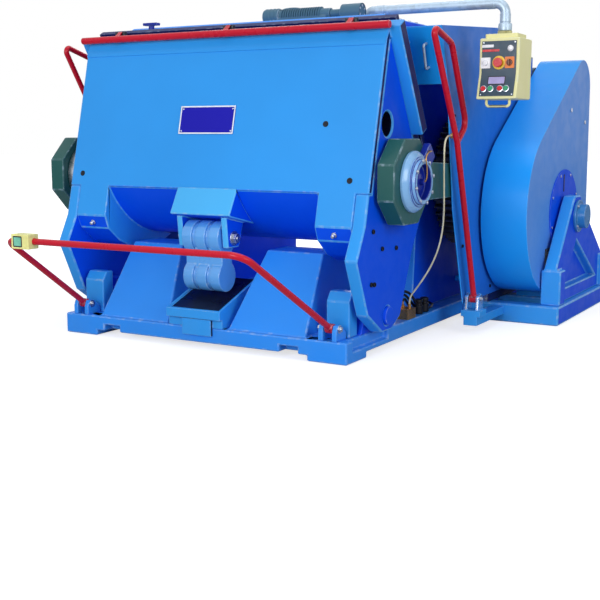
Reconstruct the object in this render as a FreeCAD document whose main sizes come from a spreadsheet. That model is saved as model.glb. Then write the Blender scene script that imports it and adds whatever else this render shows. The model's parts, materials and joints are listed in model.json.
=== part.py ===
import FreeCAD, Part
import math
import os
import re
import Sketcher
from FreeCAD import Placement, Rotation, Vector

# Clamshell die cutting and creasing press, in millimetres.
# X runs along the platen, Y from the operator towards the flywheel, Z up from the floor.
# Y values in the sheet are measured from the front face of the base. Each sub-part's
# Placement then moves it so that the origin is the middle of the anchor bolt pattern.
SIZES = {
    # Base and floor
    "base_length": 1960, "base_half_width": 760, "base_bottom": 25, "base_top": 95,
    "pad_size": 190, "anchor_half_x": 690, "anchor_half_y": 890, "anchor_hole_radius": 14,
    "notch_half_width": 45, "notch_depth": 60, "notch_height": 30, "notch_x": 480,
    "ramp_inner": 165, "ramp_outer": 556, "ramp_back": 560, "ramp_front": 15,
    "ramp_top": 430, "ramp_top_front": 235, "ramp_top_back": 420, "ramp_flare": 70,
    "relief_inner": 735, "relief_front": 60, "relief_back": 400, "relief_floor": 50,
    "toe_inner": 610, "toe_outer": 720, "toe_front": 100, "toe_back": 175, "toe_top": 288,
    "plate_low": 943, "plate_high": 1067, "plate_left": -194, "plate_right": 102,
    # Rocking platen, closed
    "pivot_y": 300, "pivot_z": 170, "pivot_pin_radius": 40, "foot_radius": 68,
    "lug_inner": 655, "lug_outer": 732, "lug_half_width": 75,
    "front_low_y": 74, "front_low_z": 562, "fold_y": 261, "fold_z": 1333,
    "crown_y": 285, "crown_z": 1372, "panel_wall": 30, "side_inner": 740, "side_outer": 800,
    "knee_y": 5, "knee_z": 433, "toe_y": 118, "toe_z": 190, "heel_y": 440, "heel_z": 150,
    "hip_y": 560, "hip_z": 420, "block_inner": 564,
    "roll_radius": 488, "roll_y": 532, "roll_z": 942, "roll_start_z": 700, "roll_back_y": 596,
    "boss_half_width": 160, "boss_top": 717, "boss_low": 592, "boss_front_y": 40,
    "boss_back_y": 284, "boss_back_z": 535, "web_hole_y": 281, "web_hole_z": 985, "web_hole_radius": 52,
    # Leaning closing plane: top point of the platen slab's front face, and layers behind it
    "lean": 30, "plane_top_y": 300, "plane_top_z": 1345, "slab_rise": 45, "slab_length": 800,
    "slab_wall": 60, "rim_outer": 850, "rim_length": 470, "plate_wall": 20,
    "plate_half_width": 750, "sheet_gap": 2, "chase_wall": 30, "chase_half_width": 800,
    "chase_bar": 60, "bed_wall": 100, "bed_half_width": 690, "bed_rise": 10,
    # Bed cheeks and deck
    "cheek_inner": 600, "cheek_outer": 680, "deck_top": 1451, "deck_wall": 22,
    "deck_back_y": 960, "cheek_front_y": 840, "cheek_back_y": 1940, "cheek_back_z": 900,
    # Crank drive
    "crank_y": 1350, "crank_z": 720, "crank_shaft_radius": 60, "crank_radius": 198,
    "gear_module": 12, "gear_teeth": 54, "pinion_teeth": 13, "drive_drop": 29.7,
    "gear_inner": 700, "gear_outer": 790, "gear_rim": 60, "gear_web": 40, "gear_hub": 130,
    "pinion_shaft_radius": 40, "shaft_end": 1262, "bush_wall": 14, "running_fit": 0.05,
    # Connecting arms
    "trunnion_y": 330, "trunnion_z": 745, "trunnion_radius": 75, "head_apothem": 180,
    "arm_inner": 815, "arm_outer": 895, "left_spread": 70, "shank_half_height": 62, "eye_radius": 110,
    "crank_pin_radius": 50, "pin_gap": 0.5, "washer_radius": 150, "washer_wall": 12,
    "cap_radius": 106, "cap_outer": 950, "cap_core_radius": 74, "key_width": 92, "key_length": 150,
    # Link in the tray
    "link_y": 116, "link_top_z": 487, "link_low_z": 312, "link_top_radius": 74,
    "link_low_radius": 68, "link_waist": 40, "link_half_width": 98, "link_pin_radius": 28,
    "strap_width": 52, "ear_wall": 30, "ear_gap": 6, "ear_low": 445,
    "tray_half_width": 145, "tray_front_y": -20, "tray_front_z": 175, "tray_back_y": 300,
    "tray_back_z": 290, "tray_lip": 40, "tray_wall": 12, "tray_sink": 8,
    # Gear guards
    "guard_plane": 900, "guard_wall": 6, "guard_front_y": 591, "guard_front_z": 1409,
    "guard_ridge_y": 1308, "guard_ridge_z": 1457, "guard_back_y": 1880, "guard_back_z": 1341,
    "guard_low_z": 140, "guard_shin_y": 929, "guard_waist_y": 771, "guard_waist_z": 599,
    "cover_low_y": 675, "cover_low_z": 1162, "stay_radius": 16, "shaft_hole_radius": 62,
    # Flywheel, belts, motor and their guard
    "flywheel_radius": 340, "flywheel_rim": 70, "flywheel_inner": 950, "flywheel_outer": 1100,
    "flywheel_web": 40, "flywheel_hub": 105, "clutch_radius": 190, "clutch_gap": 3,
    "clutch_wall": 24, "motor_y": 2010, "motor_z": 1185, "pulley_radius": 88,
    "motor_shaft_radius": 20, "motor_radius": 118, "motor_inner": 600, "motor_outer": 888,
    "belt_wall": 10, "belt_width": 26, "belt_pitch": 44, "belt_gap": 0.3,
    "drum_y": 1520, "drum_back_y": 1760, "drum_z": 560, "drum_radius": 420, "dome_radius": 150,
    "drum_inner": 920, "drum_outer": 1150, "drum_wall": 6,
    "oval_y": 1715, "oval_z": 545, "oval_half_width": 250, "oval_half_height": 215,
    "oval_wall": 6, "screw_radius": 7, "screw_wall": 5,
    # Outrigger and outboard bearing
    "outrigger_front_y": 1305, "outrigger_back_y": 2300, "outrigger_outer": 1262,
    "rail_width": 95, "pedestal_inner": 1168, "pedestal_outer": 1232, "pedestal_step": 270,
    "bearing_radius": 62, "bearing_inner": 1160, "bearing_outer": 1285, "bearing_flange": 84,
    # Front trip bar, levers and top bar
    "tube_radius": 13.5, "bar_foot_x": 667, "bar_foot_y": 30, "bar_foot_z": 145,
    "bar_corner_x": 600, "bar_corner_y": -528, "bar_corner_z": 501, "bar_bend": 70,
    "bar_pin_radius": 10, "bracket_wall": 22, "switch_size": 62, "switch_length": 96,
    "lever_x": 950, "lever_foot_y": 957, "lever_foot_z": 165, "lever_fork_y": 691,
    "lever_fork_z": 907, "lever_tip_y": 383, "lever_tip_z": 1388, "lever_heel_y": 600,
    "lever_heel_z": 1330, "lever_back_y": 795, "lever_back_z": 985, "lever_bend": 55,
    "lever_block_half": 48, "lever_block_top": 112, "lever_arm_low": 40, "lever_arm_half": 34,
    "lever_spread": 120,
    "top_bar_y": 250, "top_bar_z": 1387, "top_bar_half": 820, "top_bar_radius": 16,
    "clip_x": 620, "clip_width": 46,
    "clip_hinge_y": 296, "clip_hinge_z": 1416, "clip_pin_radius": 7,
    # Control arm and box
    "post_x": 475, "post_y": 750, "pipe_radius": 24, "pipe_z": 1504, "pipe_bend": 50,
    "box_x": 1135, "box_half_width": 90, "box_front": 65, "box_back": 105, "box_top": 1352, "box_low": 1092,
    "box_break_z": 1205, "box_nose": 32, "panel_wall_thin": 3, "panel_margin": 13,
    "button_radius": 11, "button_height": 9, "button_fit": 0.3, "button_root": 4, "button_well": 10,
    "estop_radius": 13, "estop_head": 20, "estop_rise": 12, "button_row_z": 44,
    "stop_x": -59, "start_x": -28, "hold_x": 15, "run_x": 42, "upper_row_drop": 105,
    "selector_radius": 13, "selector_offset": 48,
    # Oil set and lock lever
    "oil_x": 80, "oil_y": 620, "oil_axis_z": 1490, "oil_radius": 25, "oil_head_radius": 35,
    "hose_radius": 4,
    "lock_x": -544, "lock_height": 33, "lock_half": 42, "lock_stem_radius": 14, "seat_gap": 0.3,
}

doc = FreeCAD.newDocument("die_cutting_press")
sheet = doc.addObject("Spreadsheet::Sheet", "Sizes")
for row, (alias, number) in enumerate(SIZES.items(), start=1):
    sheet.set("A%d" % row, alias)
    sheet.set("B%d" % row, str(number))
    sheet.setAlias("B%d" % row, alias)
doc.recompute()

WORD = re.compile(r"[a-z_]+")
nodes = []


def bind(text):
    """Expression text with every size name pointed at the sheet."""
    return WORD.sub(lambda w: "Sizes." + w.group(0) if w.group(0) in SIZES else w.group(0), str(text))


def value(text):
    """Number that an expression text comes to."""
    result = sheet.evalExpression(bind(text))
    return float(getattr(result, "Value", result))


def drive(item, **texts):
    """Bind properties to expression texts; a double underscore stands for a dot."""
    for name, text in texts.items():
        item.setExpression(name.replace("__", "."), bind(text))


def block(name, x, y, z):
    box = doc.addObject("Part::Box", name)
    drive(box, Length="(%s) - (%s)" % (x[1], x[0]), Width="(%s) - (%s)" % (y[1], y[0]))
    drive(box, Height="(%s) - (%s)" % (z[1], z[0]))
    drive(box, Placement__Base__x=x[0], Placement__Base__y=y[0], Placement__Base__z=z[0])
    return box


TURNS = {"X": Rotation(Vector(0, 1, 0), 90), "Y": Rotation(Vector(1, 0, 0), -90), "Z": Rotation()}


def drum(name, axis, centre, span, radius):
    """Cylinder along an axis; centre holds the two other coordinates in X, Y, Z order."""
    item = doc.addObject("Part::Cylinder", name)
    item.Placement = Placement(Vector(), TURNS[axis])
    drive(item, Radius=radius, Height="(%s) - (%s)" % (span[1], span[0]))
    places = iter(centre)
    base = {letter: span[0] if letter == axis else next(places) for letter in "XYZ"}
    drive(
        item, Placement__Base__x=base["X"], Placement__Base__y=base["Y"], Placement__Base__z=base["Z"]
    )
    return item


def prism(name, outline, x, holes=()):
    """Body padded along X from a sketched YZ outline, with round holes."""
    body = doc.addObject("PartDesign::Body", name)
    sketch = body.newObject("Sketcher::SketchObject", name + "_sketch")
    plane = [o for o in body.Origin.OriginFeatures if o.Role == "YZ_Plane"][0]
    sketch.AttachmentSupport = [(plane, "")]
    sketch.MapMode = "FlatFace"
    drive(sketch, AttachmentOffset__Base__z=x[0])
    corners = [Vector(value(y), value(z), 0) for y, z in outline]
    count = len(corners)
    for i in range(count):
        sketch.addGeometry(Part.LineSegment(corners[i], corners[(i + 1) % count]), False)
    for i in range(count):
        sketch.addConstraint(Sketcher.Constraint("Coincident", i, 2, (i + 1) % count, 1))

    def pin(kind, geometry, point, number, text):
        k = sketch.addConstraint(Sketcher.Constraint(kind, -1, 1, geometry, point, number))
        sketch.setExpression("Constraints[%d]" % k, bind(text))

    for i, (y, z) in enumerate(outline):
        pin("DistanceX", i, 1, corners[i].x, y)
        pin("DistanceY", i, 1, corners[i].y, z)
    for i, (y, z, radius) in enumerate(holes):
        middle = Vector(value(y), value(z), 0)
        circle = Part.Circle(middle, Vector(0, 0, 1), value(radius))
        sketch.addGeometry(circle, False)
        k = sketch.addConstraint(Sketcher.Constraint("Radius", count + i, value(radius)))
        sketch.setExpression("Constraints[%d]" % k, bind(radius))
        pin("DistanceX", count + i, 3, middle.x, y)
        pin("DistanceY", count + i, 3, middle.y, z)
    pad = body.newObject("PartDesign::Pad", name + "_pad")
    pad.Profile = sketch
    drive(pad, Length="(%s) - (%s)" % (x[1], x[0]))
    return body


def join(name, parts):
    fused = doc.addObject("Part::MultiFuse", name)
    fused.Shapes = parts
    return fused


def cut(name, base, *tools):
    result = doc.addObject("Part::Cut", name)
    result.Base = base
    result.Tool = tools[0] if len(tools) == 1 else join(name + "_tools", list(tools))
    return result


def group(name, parts):
    """Several separate solids in one sub-part."""
    result = doc.addObject("Part::Compound", name)
    result.Links = parts
    return result


def made(name, shape):
    """Shape that no single feature gives, worked out from the sheet's sizes."""
    item = doc.addObject("Part::Feature", name)
    item.Shape = shape
    return item


def node(item, label):
    """Register a finished sub-part and move it to the origin at the middle of the base."""
    item.Label = label
    bound = {path.lstrip("."): text for path, text in item.ExpressionEngine}
    place = bound.get("Placement.Base.y", "0")
    item.setExpression("Placement.Base.y", "(%s) - Sizes.base_length / 2" % place)
    nodes.append(item)
    return item


def spread(side, text):
    """Distance out from the middle; everything outside the platen sits further out on the left."""
    return text if side > 0 else "(%s + left_spread)" % text


def sided(side, low, high):
    """X span on the right (side 1) or mirrored to the left (side -1)."""
    return (low, high) if side > 0 else ("-(%s)" % high, "-(%s)" % low)


def minus(text):
    return "-(%s)" % text


def tube_wire(points, bend):
    """Straight runs through the points, joined by tangent arcs."""
    edges = []
    start = points[0]
    for before, corner, after in zip(points, points[1:], points[2:]):
        back = (before - corner).normalize()
        ahead = (after - corner).normalize()
        half = math.acos(max(-1.0, min(1.0, back.dot(ahead)))) / 2
        room = 0.45 * min((before - corner).Length, (after - corner).Length)
        radius = min(bend, room * math.tan(half))
        reach = radius / math.tan(half)
        enter = corner + back * reach
        leave = corner + ahead * reach
        toward = (back + ahead).normalize()
        middle = corner + toward * (radius / math.sin(half) - radius)
        edges.append(Part.LineSegment(start, enter).toShape())
        edges.append(Part.Arc(enter, middle, leave).toShape())
        start = leave
    edges.append(Part.LineSegment(start, points[-1]).toShape())
    return Part.Wire(edges)


def tube_shape(route, radius, bend):
    points = [Vector(*(value(c) for c in point)) for point in route]
    wire = tube_wire(points, value(bend))
    ring = Part.Circle(points[0], (points[1] - points[0]).normalize(), value(radius))
    return wire.makePipeShell([Part.Wire([ring.toShape()])], True, False)


def slab_x(wire, x):
    """Face inside a YZ wire drawn at X = 0, extruded over an X span."""
    low, high = value(x[0]), value(x[1])
    face = Part.Face(wire)
    face.translate(Vector(low, 0, 0))
    return face.extrude(Vector(high - low, 0, 0))


def belt_wire(*circles):
    """Outline around circles, each (y, z, radius), given in clockwise order, with tangents between."""
    rounds = [tuple(value(t) for t in circle) for circle in circles]
    runs = []
    for (ay, az, ar), (by, bz, br) in zip(rounds, rounds[1:] + rounds[:1]):
        heading = math.atan2(bz - az, by - ay)
        normal = heading + math.acos((ar - br) / math.hypot(by - ay, bz - az))
        side = Vector(0, math.cos(normal), math.sin(normal))
        runs.append((Vector(0, ay, az) + side * ar, Vector(0, by, bz) + side * br, normal))
    edges = []
    for (y, z, radius), before, after in zip(rounds[1:] + rounds[:1], runs, runs[1:] + runs[:1]):
        turn = (before[2] - after[2]) % (2 * math.pi)
        middle = before[2] - turn / 2
        crest = Vector(0, y + radius * math.cos(middle), z + radius * math.sin(middle))
        edges.append(Part.LineSegment(before[0], before[1]).toShape())
        edges.append(Part.Arc(before[1], crest, after[0]).toShape())
    return Part.Wire(edges)


def gear_wire(y, z, teeth, first_angle):
    """Straight-sided teeth on a pitch circle, with backlash in mesh."""
    module = value("gear_module")
    pitch = 2 * math.pi / teeth
    root, tip = module * (teeth / 2 - 1.2), module * (teeth / 2 + 0.85)
    corners = []
    for i in range(teeth):
        middle = first_angle + i * pitch
        for radius, offset in ((root, -0.24), (tip, -0.1), (tip, 0.1), (root, 0.24)):
            angle = middle + offset * pitch
            corners.append(Vector(0, y + radius * math.cos(angle), z + radius * math.sin(angle)))
    return Part.makePolygon(corners + corners[:1])


def plane_point(down, behind):
    """Point on the leaning closing plane: distance down from its top, distance behind it."""
    y = "plane_top_y + (%s) * sin(lean) + (%s) * cos(lean)" % (down, behind)
    z = "plane_top_z - (%s) * cos(lean) + (%s) * sin(lean)" % (down, behind)
    return (y, z)


def leaning(name, x, down, behind):
    """Plate parallel to the closing plane."""
    outline = [plane_point(d, b) for d, b in ((down[0], behind[0]), (down[1], behind[0]),
                                              (down[1], behind[1]), (down[0], behind[1]))]
    return prism(name, outline, x)


# Places worked out from the driving sizes
GEAR_REACH = "gear_module * (gear_teeth + pinion_teeth) / 2"
PINION_Y = "(crank_y + %s * cos(drive_drop))" % GEAR_REACH
PINION_Z = "(crank_z - %s * sin(drive_drop))" % GEAR_REACH
ROD_Y, ROD_Z = "(crank_y - trunnion_y)", "(crank_z - trunnion_z)"
ROD_REACH = "sqrt(%s ^ 2 + %s ^ 2)" % (ROD_Y, ROD_Z)
WRIST_Y = "(crank_y + crank_radius * %s / %s)" % (ROD_Y, ROD_REACH)
WRIST_Z = "(crank_z + crank_radius * %s / %s)" % (ROD_Z, ROD_REACH)
DRUM_MIDDLE = "(drum_y + drum_back_y) / 2"
FRONT_SLOPE = "((fold_y - front_low_y) / (fold_z - front_low_z))"
PLATE_BACK = "slab_wall + plate_wall"
CHASE_FRONT = PLATE_BACK + " + sheet_gap"
BED_FRONT = CHASE_FRONT + " + chase_wall"
BED_BACK = BED_FRONT + " + bed_wall"


def front_y(z):
    """Y of the platen's front face at a height."""
    return "(front_low_y + ((%s) - front_low_z) * %s)" % (z, FRONT_SLOPE)


def slab_end(y):
    """Height of the platen slab's sloping top end at a Y."""
    front = plane_point("-slab_rise", "0")
    return "(%s + ((%s) - (%s)) * tan(lean))" % (front[1], y, front[0])


def base_casting():
    """Base plate on corner pads, with fan-shaped ramps, pry notches, foot reliefs and anchor holes."""
    half, length = "base_half_width", "base_length"
    solids = [block("base_plate", (minus(half), half), ("0", length), ("base_bottom", "base_top"))]
    tools = []
    for side in (1, -1):
        pad_x = sided(side, half + " - pad_size", half)
        for end, y in (("front", ("0", "pad_size")), ("back", (length + " - pad_size", length))):
            solids.append(block("pad_%s_%d" % (end, side), pad_x, y, ("0", "base_bottom")))
        for end in (1, -1):
            place = ("%d * anchor_half_x" % side, "base_length / 2 + %d * anchor_half_y" % end)
            tools.append(drum("anchor_%d_%d" % (side, end), "Z", place, ("-1", "base_top + 1"),
                              "anchor_hole_radius"))
        middle = "%d * notch_x" % side
        tools.append(
            block(
                "notch_%d" % side, (middle + " - notch_half_width", middle + " + notch_half_width"),
                ("-1", "notch_depth"), ("base_bottom - 1", "base_bottom + notch_height"),
            )
        )
        tools.append(block("foot_relief_%d" % side, sided(side, "relief_inner", half + " + 1"),
                           ("relief_front", "relief_back"), ("relief_floor", "base_top + 1")))
        solids.append(ramp(side))
    return cut("base", join("base_solids", solids), *tools)


def ramp(side):
    """Frustum standing on the base beside the tray."""
    item = doc.addObject("Part::Wedge", "ramp_%d" % side)
    item.Placement = Placement(Vector(), Rotation(Vector(1, 0, 0), 90))
    low, high = sided(side, "ramp_inner", "ramp_outer")
    top_low, top_high = sided(side, "ramp_inner + ramp_flare", "ramp_outer - ramp_flare / 2")
    drive(item, Xmin=low, Xmax=high, X2min=top_low, X2max=top_high)
    drive(item, Ymin="base_top", Ymax="ramp_top")
    drive(item, Zmin="-ramp_back", Zmax="-ramp_front", Z2min="-ramp_top_back", Z2max="-ramp_top_front")
    return item


def pivot_lugs():
    """Two lugs on the base, each with the pin that a platen foot rocks on."""
    lugs = []
    for side in (1, -1):
        x = sided(side, "lug_inner", "lug_outer")
        outline = [
            ("pivot_y - lug_half_width - 40", "base_top"),
            ("pivot_y + lug_half_width + 40", "base_top"), ("pivot_y + lug_half_width", "pivot_z"),
            ("pivot_y + lug_half_width / 2", "pivot_z + foot_radius"),
            ("pivot_y - lug_half_width / 2", "pivot_z + foot_radius"),
            ("pivot_y - lug_half_width", "pivot_z"),
        ]
        lug = prism("lug_%d" % side, outline, x)
        pin = drum("rock_pin_%d" % side, "X", ("pivot_y", "pivot_z"),
                   sided(side, "lug_inner + 10", "side_outer + 14"), "pivot_pin_radius")
        lugs.append(join("lug_pin_%d" % side, [lug, pin]))
    return group("pivot_lugs_pair", lugs)


def toe_stops():
    """Two chamfered blocks on the base in front of the pivots."""
    outline = [("toe_front", "base_top"), ("toe_back", "base_top"), ("toe_back", "toe_top"),
               ("toe_front + 30", "toe_top"), ("toe_front", "toe_top - 40")]
    return group(
        "toe_stop_pair",
        [
            prism("toe_stop_%d" % side, outline, sided(side, "toe_inner", "toe_outer"))
            for side in (1, -1)
        ],
    )


def centre_tray():
    """Sloping tray that the link's lower roll rides over, with a front lip."""
    half = "tray_half_width"
    rise = "(tray_back_z - tray_front_z) / (tray_back_y - tray_front_y)"
    outline = [("tray_front_y", "tray_front_z - tray_lip"), ("tray_front_y", "tray_front_z"),
               ("tray_back_y", "tray_back_z"), ("tray_back_y", "base_top"), ("0", "base_top"),
               ("0", "tray_front_z - tray_lip")]
    body = prism("tray_body", outline, (minus(half), half))
    sink = [("tray_front_y + tray_wall", "tray_front_z + tray_wall * %s - tray_sink" % rise),
            ("tray_front_y + tray_wall", "tray_front_z + 60"), ("tray_back_y + 1", "tray_back_z + 60"),
            ("tray_back_y + 1", "tray_back_z - tray_sink")]
    floor = prism("tray_floor", sink, (minus(half) + " + tray_wall", half + " - tray_wall"))
    apron = block(
        "tray_apron", ("-60", "95"), ("tray_front_y + 2", "0"),
        ("base_bottom + 35", "tray_front_z - tray_lip"),
    )
    return join("tray", [cut("tray_sunk", body, floor), apron])


def outrigger_base():
    """Floor frame beside the base that carries the outboard bearing and the flywheel guard."""
    x = ("base_half_width", "outrigger_outer")
    rails = [
        block(
            "front_rail", x, ("outrigger_front_y", "outrigger_front_y + rail_width"), ("0", "base_top")
        ),
        block("back_rail", x, ("outrigger_back_y - rail_width", "outrigger_back_y"), ("0", "base_top")),
        block(
            "middle_rail", x, (DRUM_MIDDLE + " - rail_width / 2", DRUM_MIDDLE + " + rail_width / 2"),
            ("0", "base_top"),
        ),
        block(
            "side_rail", ("outrigger_outer - 1.2 * rail_width", "outrigger_outer"),
            ("outrigger_front_y", "outrigger_back_y"), ("0", "base_top"),
        ),
        block(
            "back_tie", ("base_half_width", "base_half_width + rail_width"),
            ("outrigger_front_y", "outrigger_back_y"), ("0", "base_top"),
        ),
    ]
    return join("outrigger", rails)


def bearing_pedestal():
    """A-shaped pedestal beside the flywheel guard, with a bore for the outboard bearing."""
    bore = "bearing_radius"
    outline = [("outrigger_front_y + 40", "base_top"), ("outrigger_front_y + 40", "pedestal_step"),
               (PINION_Y + " - 1.5 * bearing_radius", PINION_Z + " + bearing_radius"),
               (PINION_Y + " - 0.8 * bearing_radius", PINION_Z + " + 1.7 * bearing_radius"),
               (PINION_Y + " + 0.8 * bearing_radius", PINION_Z + " + 1.7 * bearing_radius"),
               (PINION_Y + " + 1.5 * bearing_radius", PINION_Z + " + bearing_radius"),
               ("outrigger_back_y - 40", "pedestal_step"), ("outrigger_back_y - 40", "base_top")]
    plate = prism("pedestal_plate", outline, ("pedestal_inner", "pedestal_outer"),
                  [(PINION_Y, PINION_Z, bore)])
    window = prism(
        "pedestal_window",
        [
            ("outrigger_front_y + 190", "base_top + 70"),
            (PINION_Y, PINION_Z + " - 2 * bearing_radius"), ("outrigger_back_y - 190", "base_top + 70"),
        ],
        ("pedestal_inner + 22", "pedestal_outer + 1"),
    )
    foot = block("pedestal_foot", ("drum_outer + 6", "outrigger_outer - 6"),
                 ("outrigger_front_y + 40", "outrigger_front_y + 130"), ("base_top", "pedestal_step"))
    heel = block("pedestal_heel", ("drum_outer + 6", "outrigger_outer - 6"),
                 ("outrigger_back_y - 130", "outrigger_back_y - 40"), ("base_top", "pedestal_step"))
    return join("pedestal", [cut("pedestal_web", plate, window), foot, heel])


def outboard_bearing():
    """Flanged bearing boss in the pedestal."""
    centre = (PINION_Y, PINION_Z)
    barrel = drum("bearing_barrel", "X", centre, ("bearing_inner", "bearing_outer"), "bearing_radius")
    flange = drum(
        "bearing_flange_disc", "X", centre, ("pedestal_outer", "pedestal_outer + 14"), "bearing_flange"
    )
    bore = drum(
        "bearing_bore", "X", centre, ("bearing_inner - 1", "shaft_end + 2"),
        "pinion_shaft_radius + running_fit",
    )
    return cut("bearing", join("bearing_solids", [barrel, flange]), bore)


def bed_casting():
    """Leaning bed slab on two cheeks, tied by a deck at the top and bars low down."""
    half = "bed_half_width"
    slab = leaning("bed_slab", (minus(half), half), ("-bed_rise", "slab_length"), (BED_FRONT, BED_BACK))
    top, low = plane_point("-bed_rise", BED_BACK), plane_point("slab_length", BED_BACK)
    holes = [("crank_y", "crank_z", "crank_shaft_radius + bush_wall"),
             (PINION_Y, PINION_Z, "pinion_shaft_radius + bush_wall")]
    outline = [
        (top[0] + " - 12", "deck_top"), ("deck_back_y", "deck_top"), ("cheek_back_y", "cheek_back_z"),
        ("cheek_back_y", "base_top"), ("cheek_front_y", "base_top"), low,
        plane_point("slab_length", BED_FRONT), plane_point("-bed_rise", BED_BACK + " - 20"),
    ]
    cheeks = [
        prism("cheek_%d" % side, outline, sided(side, "cheek_inner", "cheek_outer"), holes)
        for side in (1, -1)
    ]
    deck = block(
        "deck", ("-cheek_outer", "cheek_outer"), (top[0] + " - 10", "deck_back_y"),
        ("deck_top - deck_wall", "deck_top"),
    )
    tie = block(
        "back_tie_bar", ("-cheek_outer", "cheek_outer"), ("cheek_back_y - 120", "cheek_back_y - 20"),
        ("base_top + 40", "base_top + 140"),
    )
    return join("bed", [slab, deck, tie] + cheeks)


def die_chase():
    """Frame bolted on the bed that holds the die board."""
    half = "chase_half_width"
    layer = (CHASE_FRONT, BED_FRONT)
    frame = leaning("chase_frame", (minus(half), half), ("-slab_rise", "slab_length"), layer)
    window = leaning(
        "chase_window", (minus(half) + " + chase_bar", half + " - chase_bar"),
        ("chase_bar - slab_rise", "slab_length - chase_bar"),
        (CHASE_FRONT + " - 1", BED_FRONT + " - 8"),
    )
    return cut("chase", frame, window)


def shaft_bushes():
    """Bronze bushes in the cheeks for the crank shaft and the pinion shaft."""
    rings = []
    for side in (1, -1):
        x = sided(side, "cheek_inner", "cheek_outer")
        for tag, centre, bore in (("crank", ("crank_y", "crank_z"), "crank_shaft_radius"),
                                  ("pinion", (PINION_Y, PINION_Z), "pinion_shaft_radius")):
            outer = drum("%s_bush_%d" % (tag, side), "X", centre, x, bore + " + bush_wall")
            inner = drum(
                "%s_bush_bore_%d" % (tag, side), "X", centre, (x[0] + " - 1", x[1] + " + 1"),
                bore + " + running_fit",
            )
            rings.append(cut("%s_bush_ring_%d" % (tag, side), outer, inner))
    return group("bushes", rings)


def gear_guard(side):
    """Side plate and roof over the crank gear and the arm, on three stays from the cheek."""
    tag = "right" if side > 0 else "left"
    plane = spread(side, "guard_plane")
    plate_x = sided(side, plane, plane + " + guard_wall")
    outline = [
        ("guard_front_y", "guard_front_z"), ("guard_ridge_y", "guard_ridge_z"),
        ("guard_back_y", "guard_back_z"), ("guard_back_y", "guard_low_z"),
        ("guard_shin_y", "guard_low_z"), ("guard_waist_y", "guard_waist_z"),
        ("cover_low_y", "cover_low_z"),
    ]
    holes = [(PINION_Y, PINION_Z, "shaft_hole_radius")] if side > 0 else []
    plate = prism("guard_plate_" + tag, outline, plate_x, holes)
    roof_outline = outline[:3] + [("guard_back_y", "guard_back_z - guard_wall"),
                                  ("guard_ridge_y", "guard_ridge_z - guard_wall"),
                                  ("guard_front_y", "guard_front_z - guard_wall")]
    roof = prism("guard_roof_" + tag, roof_outline, sided(side, "bed_half_width + 6", plane))
    stays = []
    places = [
        ("crank_y - 250", "guard_front_z - 110"), ("guard_back_y - 110", "cheek_back_z - 40"),
        ("crank_y + 60", "guard_low_z + 50"),
    ]
    for i, (y, z) in enumerate(places):
        stays.append(
            drum("stay_%s_%d" % (tag, i), "X", (y, z), sided(side, "cheek_outer", plane), "stay_radius")
        )
    return join("gear_guard_solid_" + tag, [plate, roof] + stays)


def gear_cover():
    """Front cover plate over the top of the right gear guard, with its D handle."""
    wall = "guard_wall"
    outline = [
        ("guard_front_y", "guard_front_z - guard_wall"), ("cover_low_y", "cover_low_z"),
        ("cover_low_y + 8", "cover_low_z"), ("guard_front_y + 8", "guard_front_z - guard_wall"),
    ]
    plate = prism("cover_plate", outline, ("bed_half_width + 6", "guard_plane"))
    grip_y = "(guard_front_y + cover_low_y) / 2"
    x, out = "bed_half_width + 60", "46"
    route = [(x, grip_y + " - 4 - 27", "(guard_front_z + cover_low_z) / 2 + 58"),
             (x, grip_y + " - " + out + " - 27", "(guard_front_z + cover_low_z) / 2 + 46"),
             (x, grip_y + " - " + out + " + 17", "(guard_front_z + cover_low_z) / 2 - 62"),
             (x, grip_y + " + 20", "(guard_front_z + cover_low_z) / 2 - 54")]
    grip = made("cover_grip", tube_shape(route, wall, "16"))
    return join("cover_solid", [plate, grip])


def guard_outline(inset):
    """Outline of the flywheel guard: two circles low down and a small one round the motor shaft."""
    return belt_wire(
        ("drum_y", "drum_z", "drum_radius - " + inset),
        ("motor_y", "motor_z", "dome_radius - " + inset),
        ("drum_back_y", "drum_z", "drum_radius - " + inset),
    )


def flywheel_guard():
    """Drum-bottomed sheet metal guard around the flywheel, belts and motor pulley."""
    outer = slab_x(guard_outline("0"), ("drum_inner", "drum_outer"))
    inner = slab_x(guard_outline("drum_wall"), ("drum_inner + drum_wall", "drum_outer - drum_wall"))
    shell = made("guard_shell", outer.cut(inner))
    holes = [
        drum(
            "guard_shaft_hole", "X", (PINION_Y, PINION_Z), ("drum_inner - 1", "drum_outer + 1"),
            "shaft_hole_radius",
        ),
        drum(
            "guard_motor_hole", "X", ("motor_y", "motor_z"),
            ("drum_inner - 1", "drum_inner + drum_wall + 1"), "2 * motor_shaft_radius",
        ),
    ]
    foot = block(
        "guard_foot", ("drum_inner + 30", "drum_outer - 30"),
        (DRUM_MIDDLE + " - 40", DRUM_MIDDLE + " + 40"), ("base_top", "drum_z - drum_radius + 3"),
    )
    return join("flywheel_guard_solid", [cut("guard_shell_cut", shell, *holes), foot])


def oval_wire(shrink):
    centre = Vector(0, value("oval_y"), value("oval_z"))
    tall = Vector(0, 0, value("oval_half_height") - shrink)
    wide = Vector(0, value("oval_half_width") - shrink, 0)
    return Part.Wire([Part.Ellipse(centre + wide, centre + tall, centre).toShape()])


def access_cover():
    """Oval cover on the flat side of the flywheel guard, cleared for the shaft."""
    plate = made("oval_plate", slab_x(oval_wire(0), ("drum_outer", "drum_outer + oval_wall")))
    hole = drum(
        "oval_shaft_hole", "X", (PINION_Y, PINION_Z), ("drum_outer - 1", "drum_outer + oval_wall + 1"),
        "shaft_hole_radius",
    )
    return cut("oval_cover", plate, hole)


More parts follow.
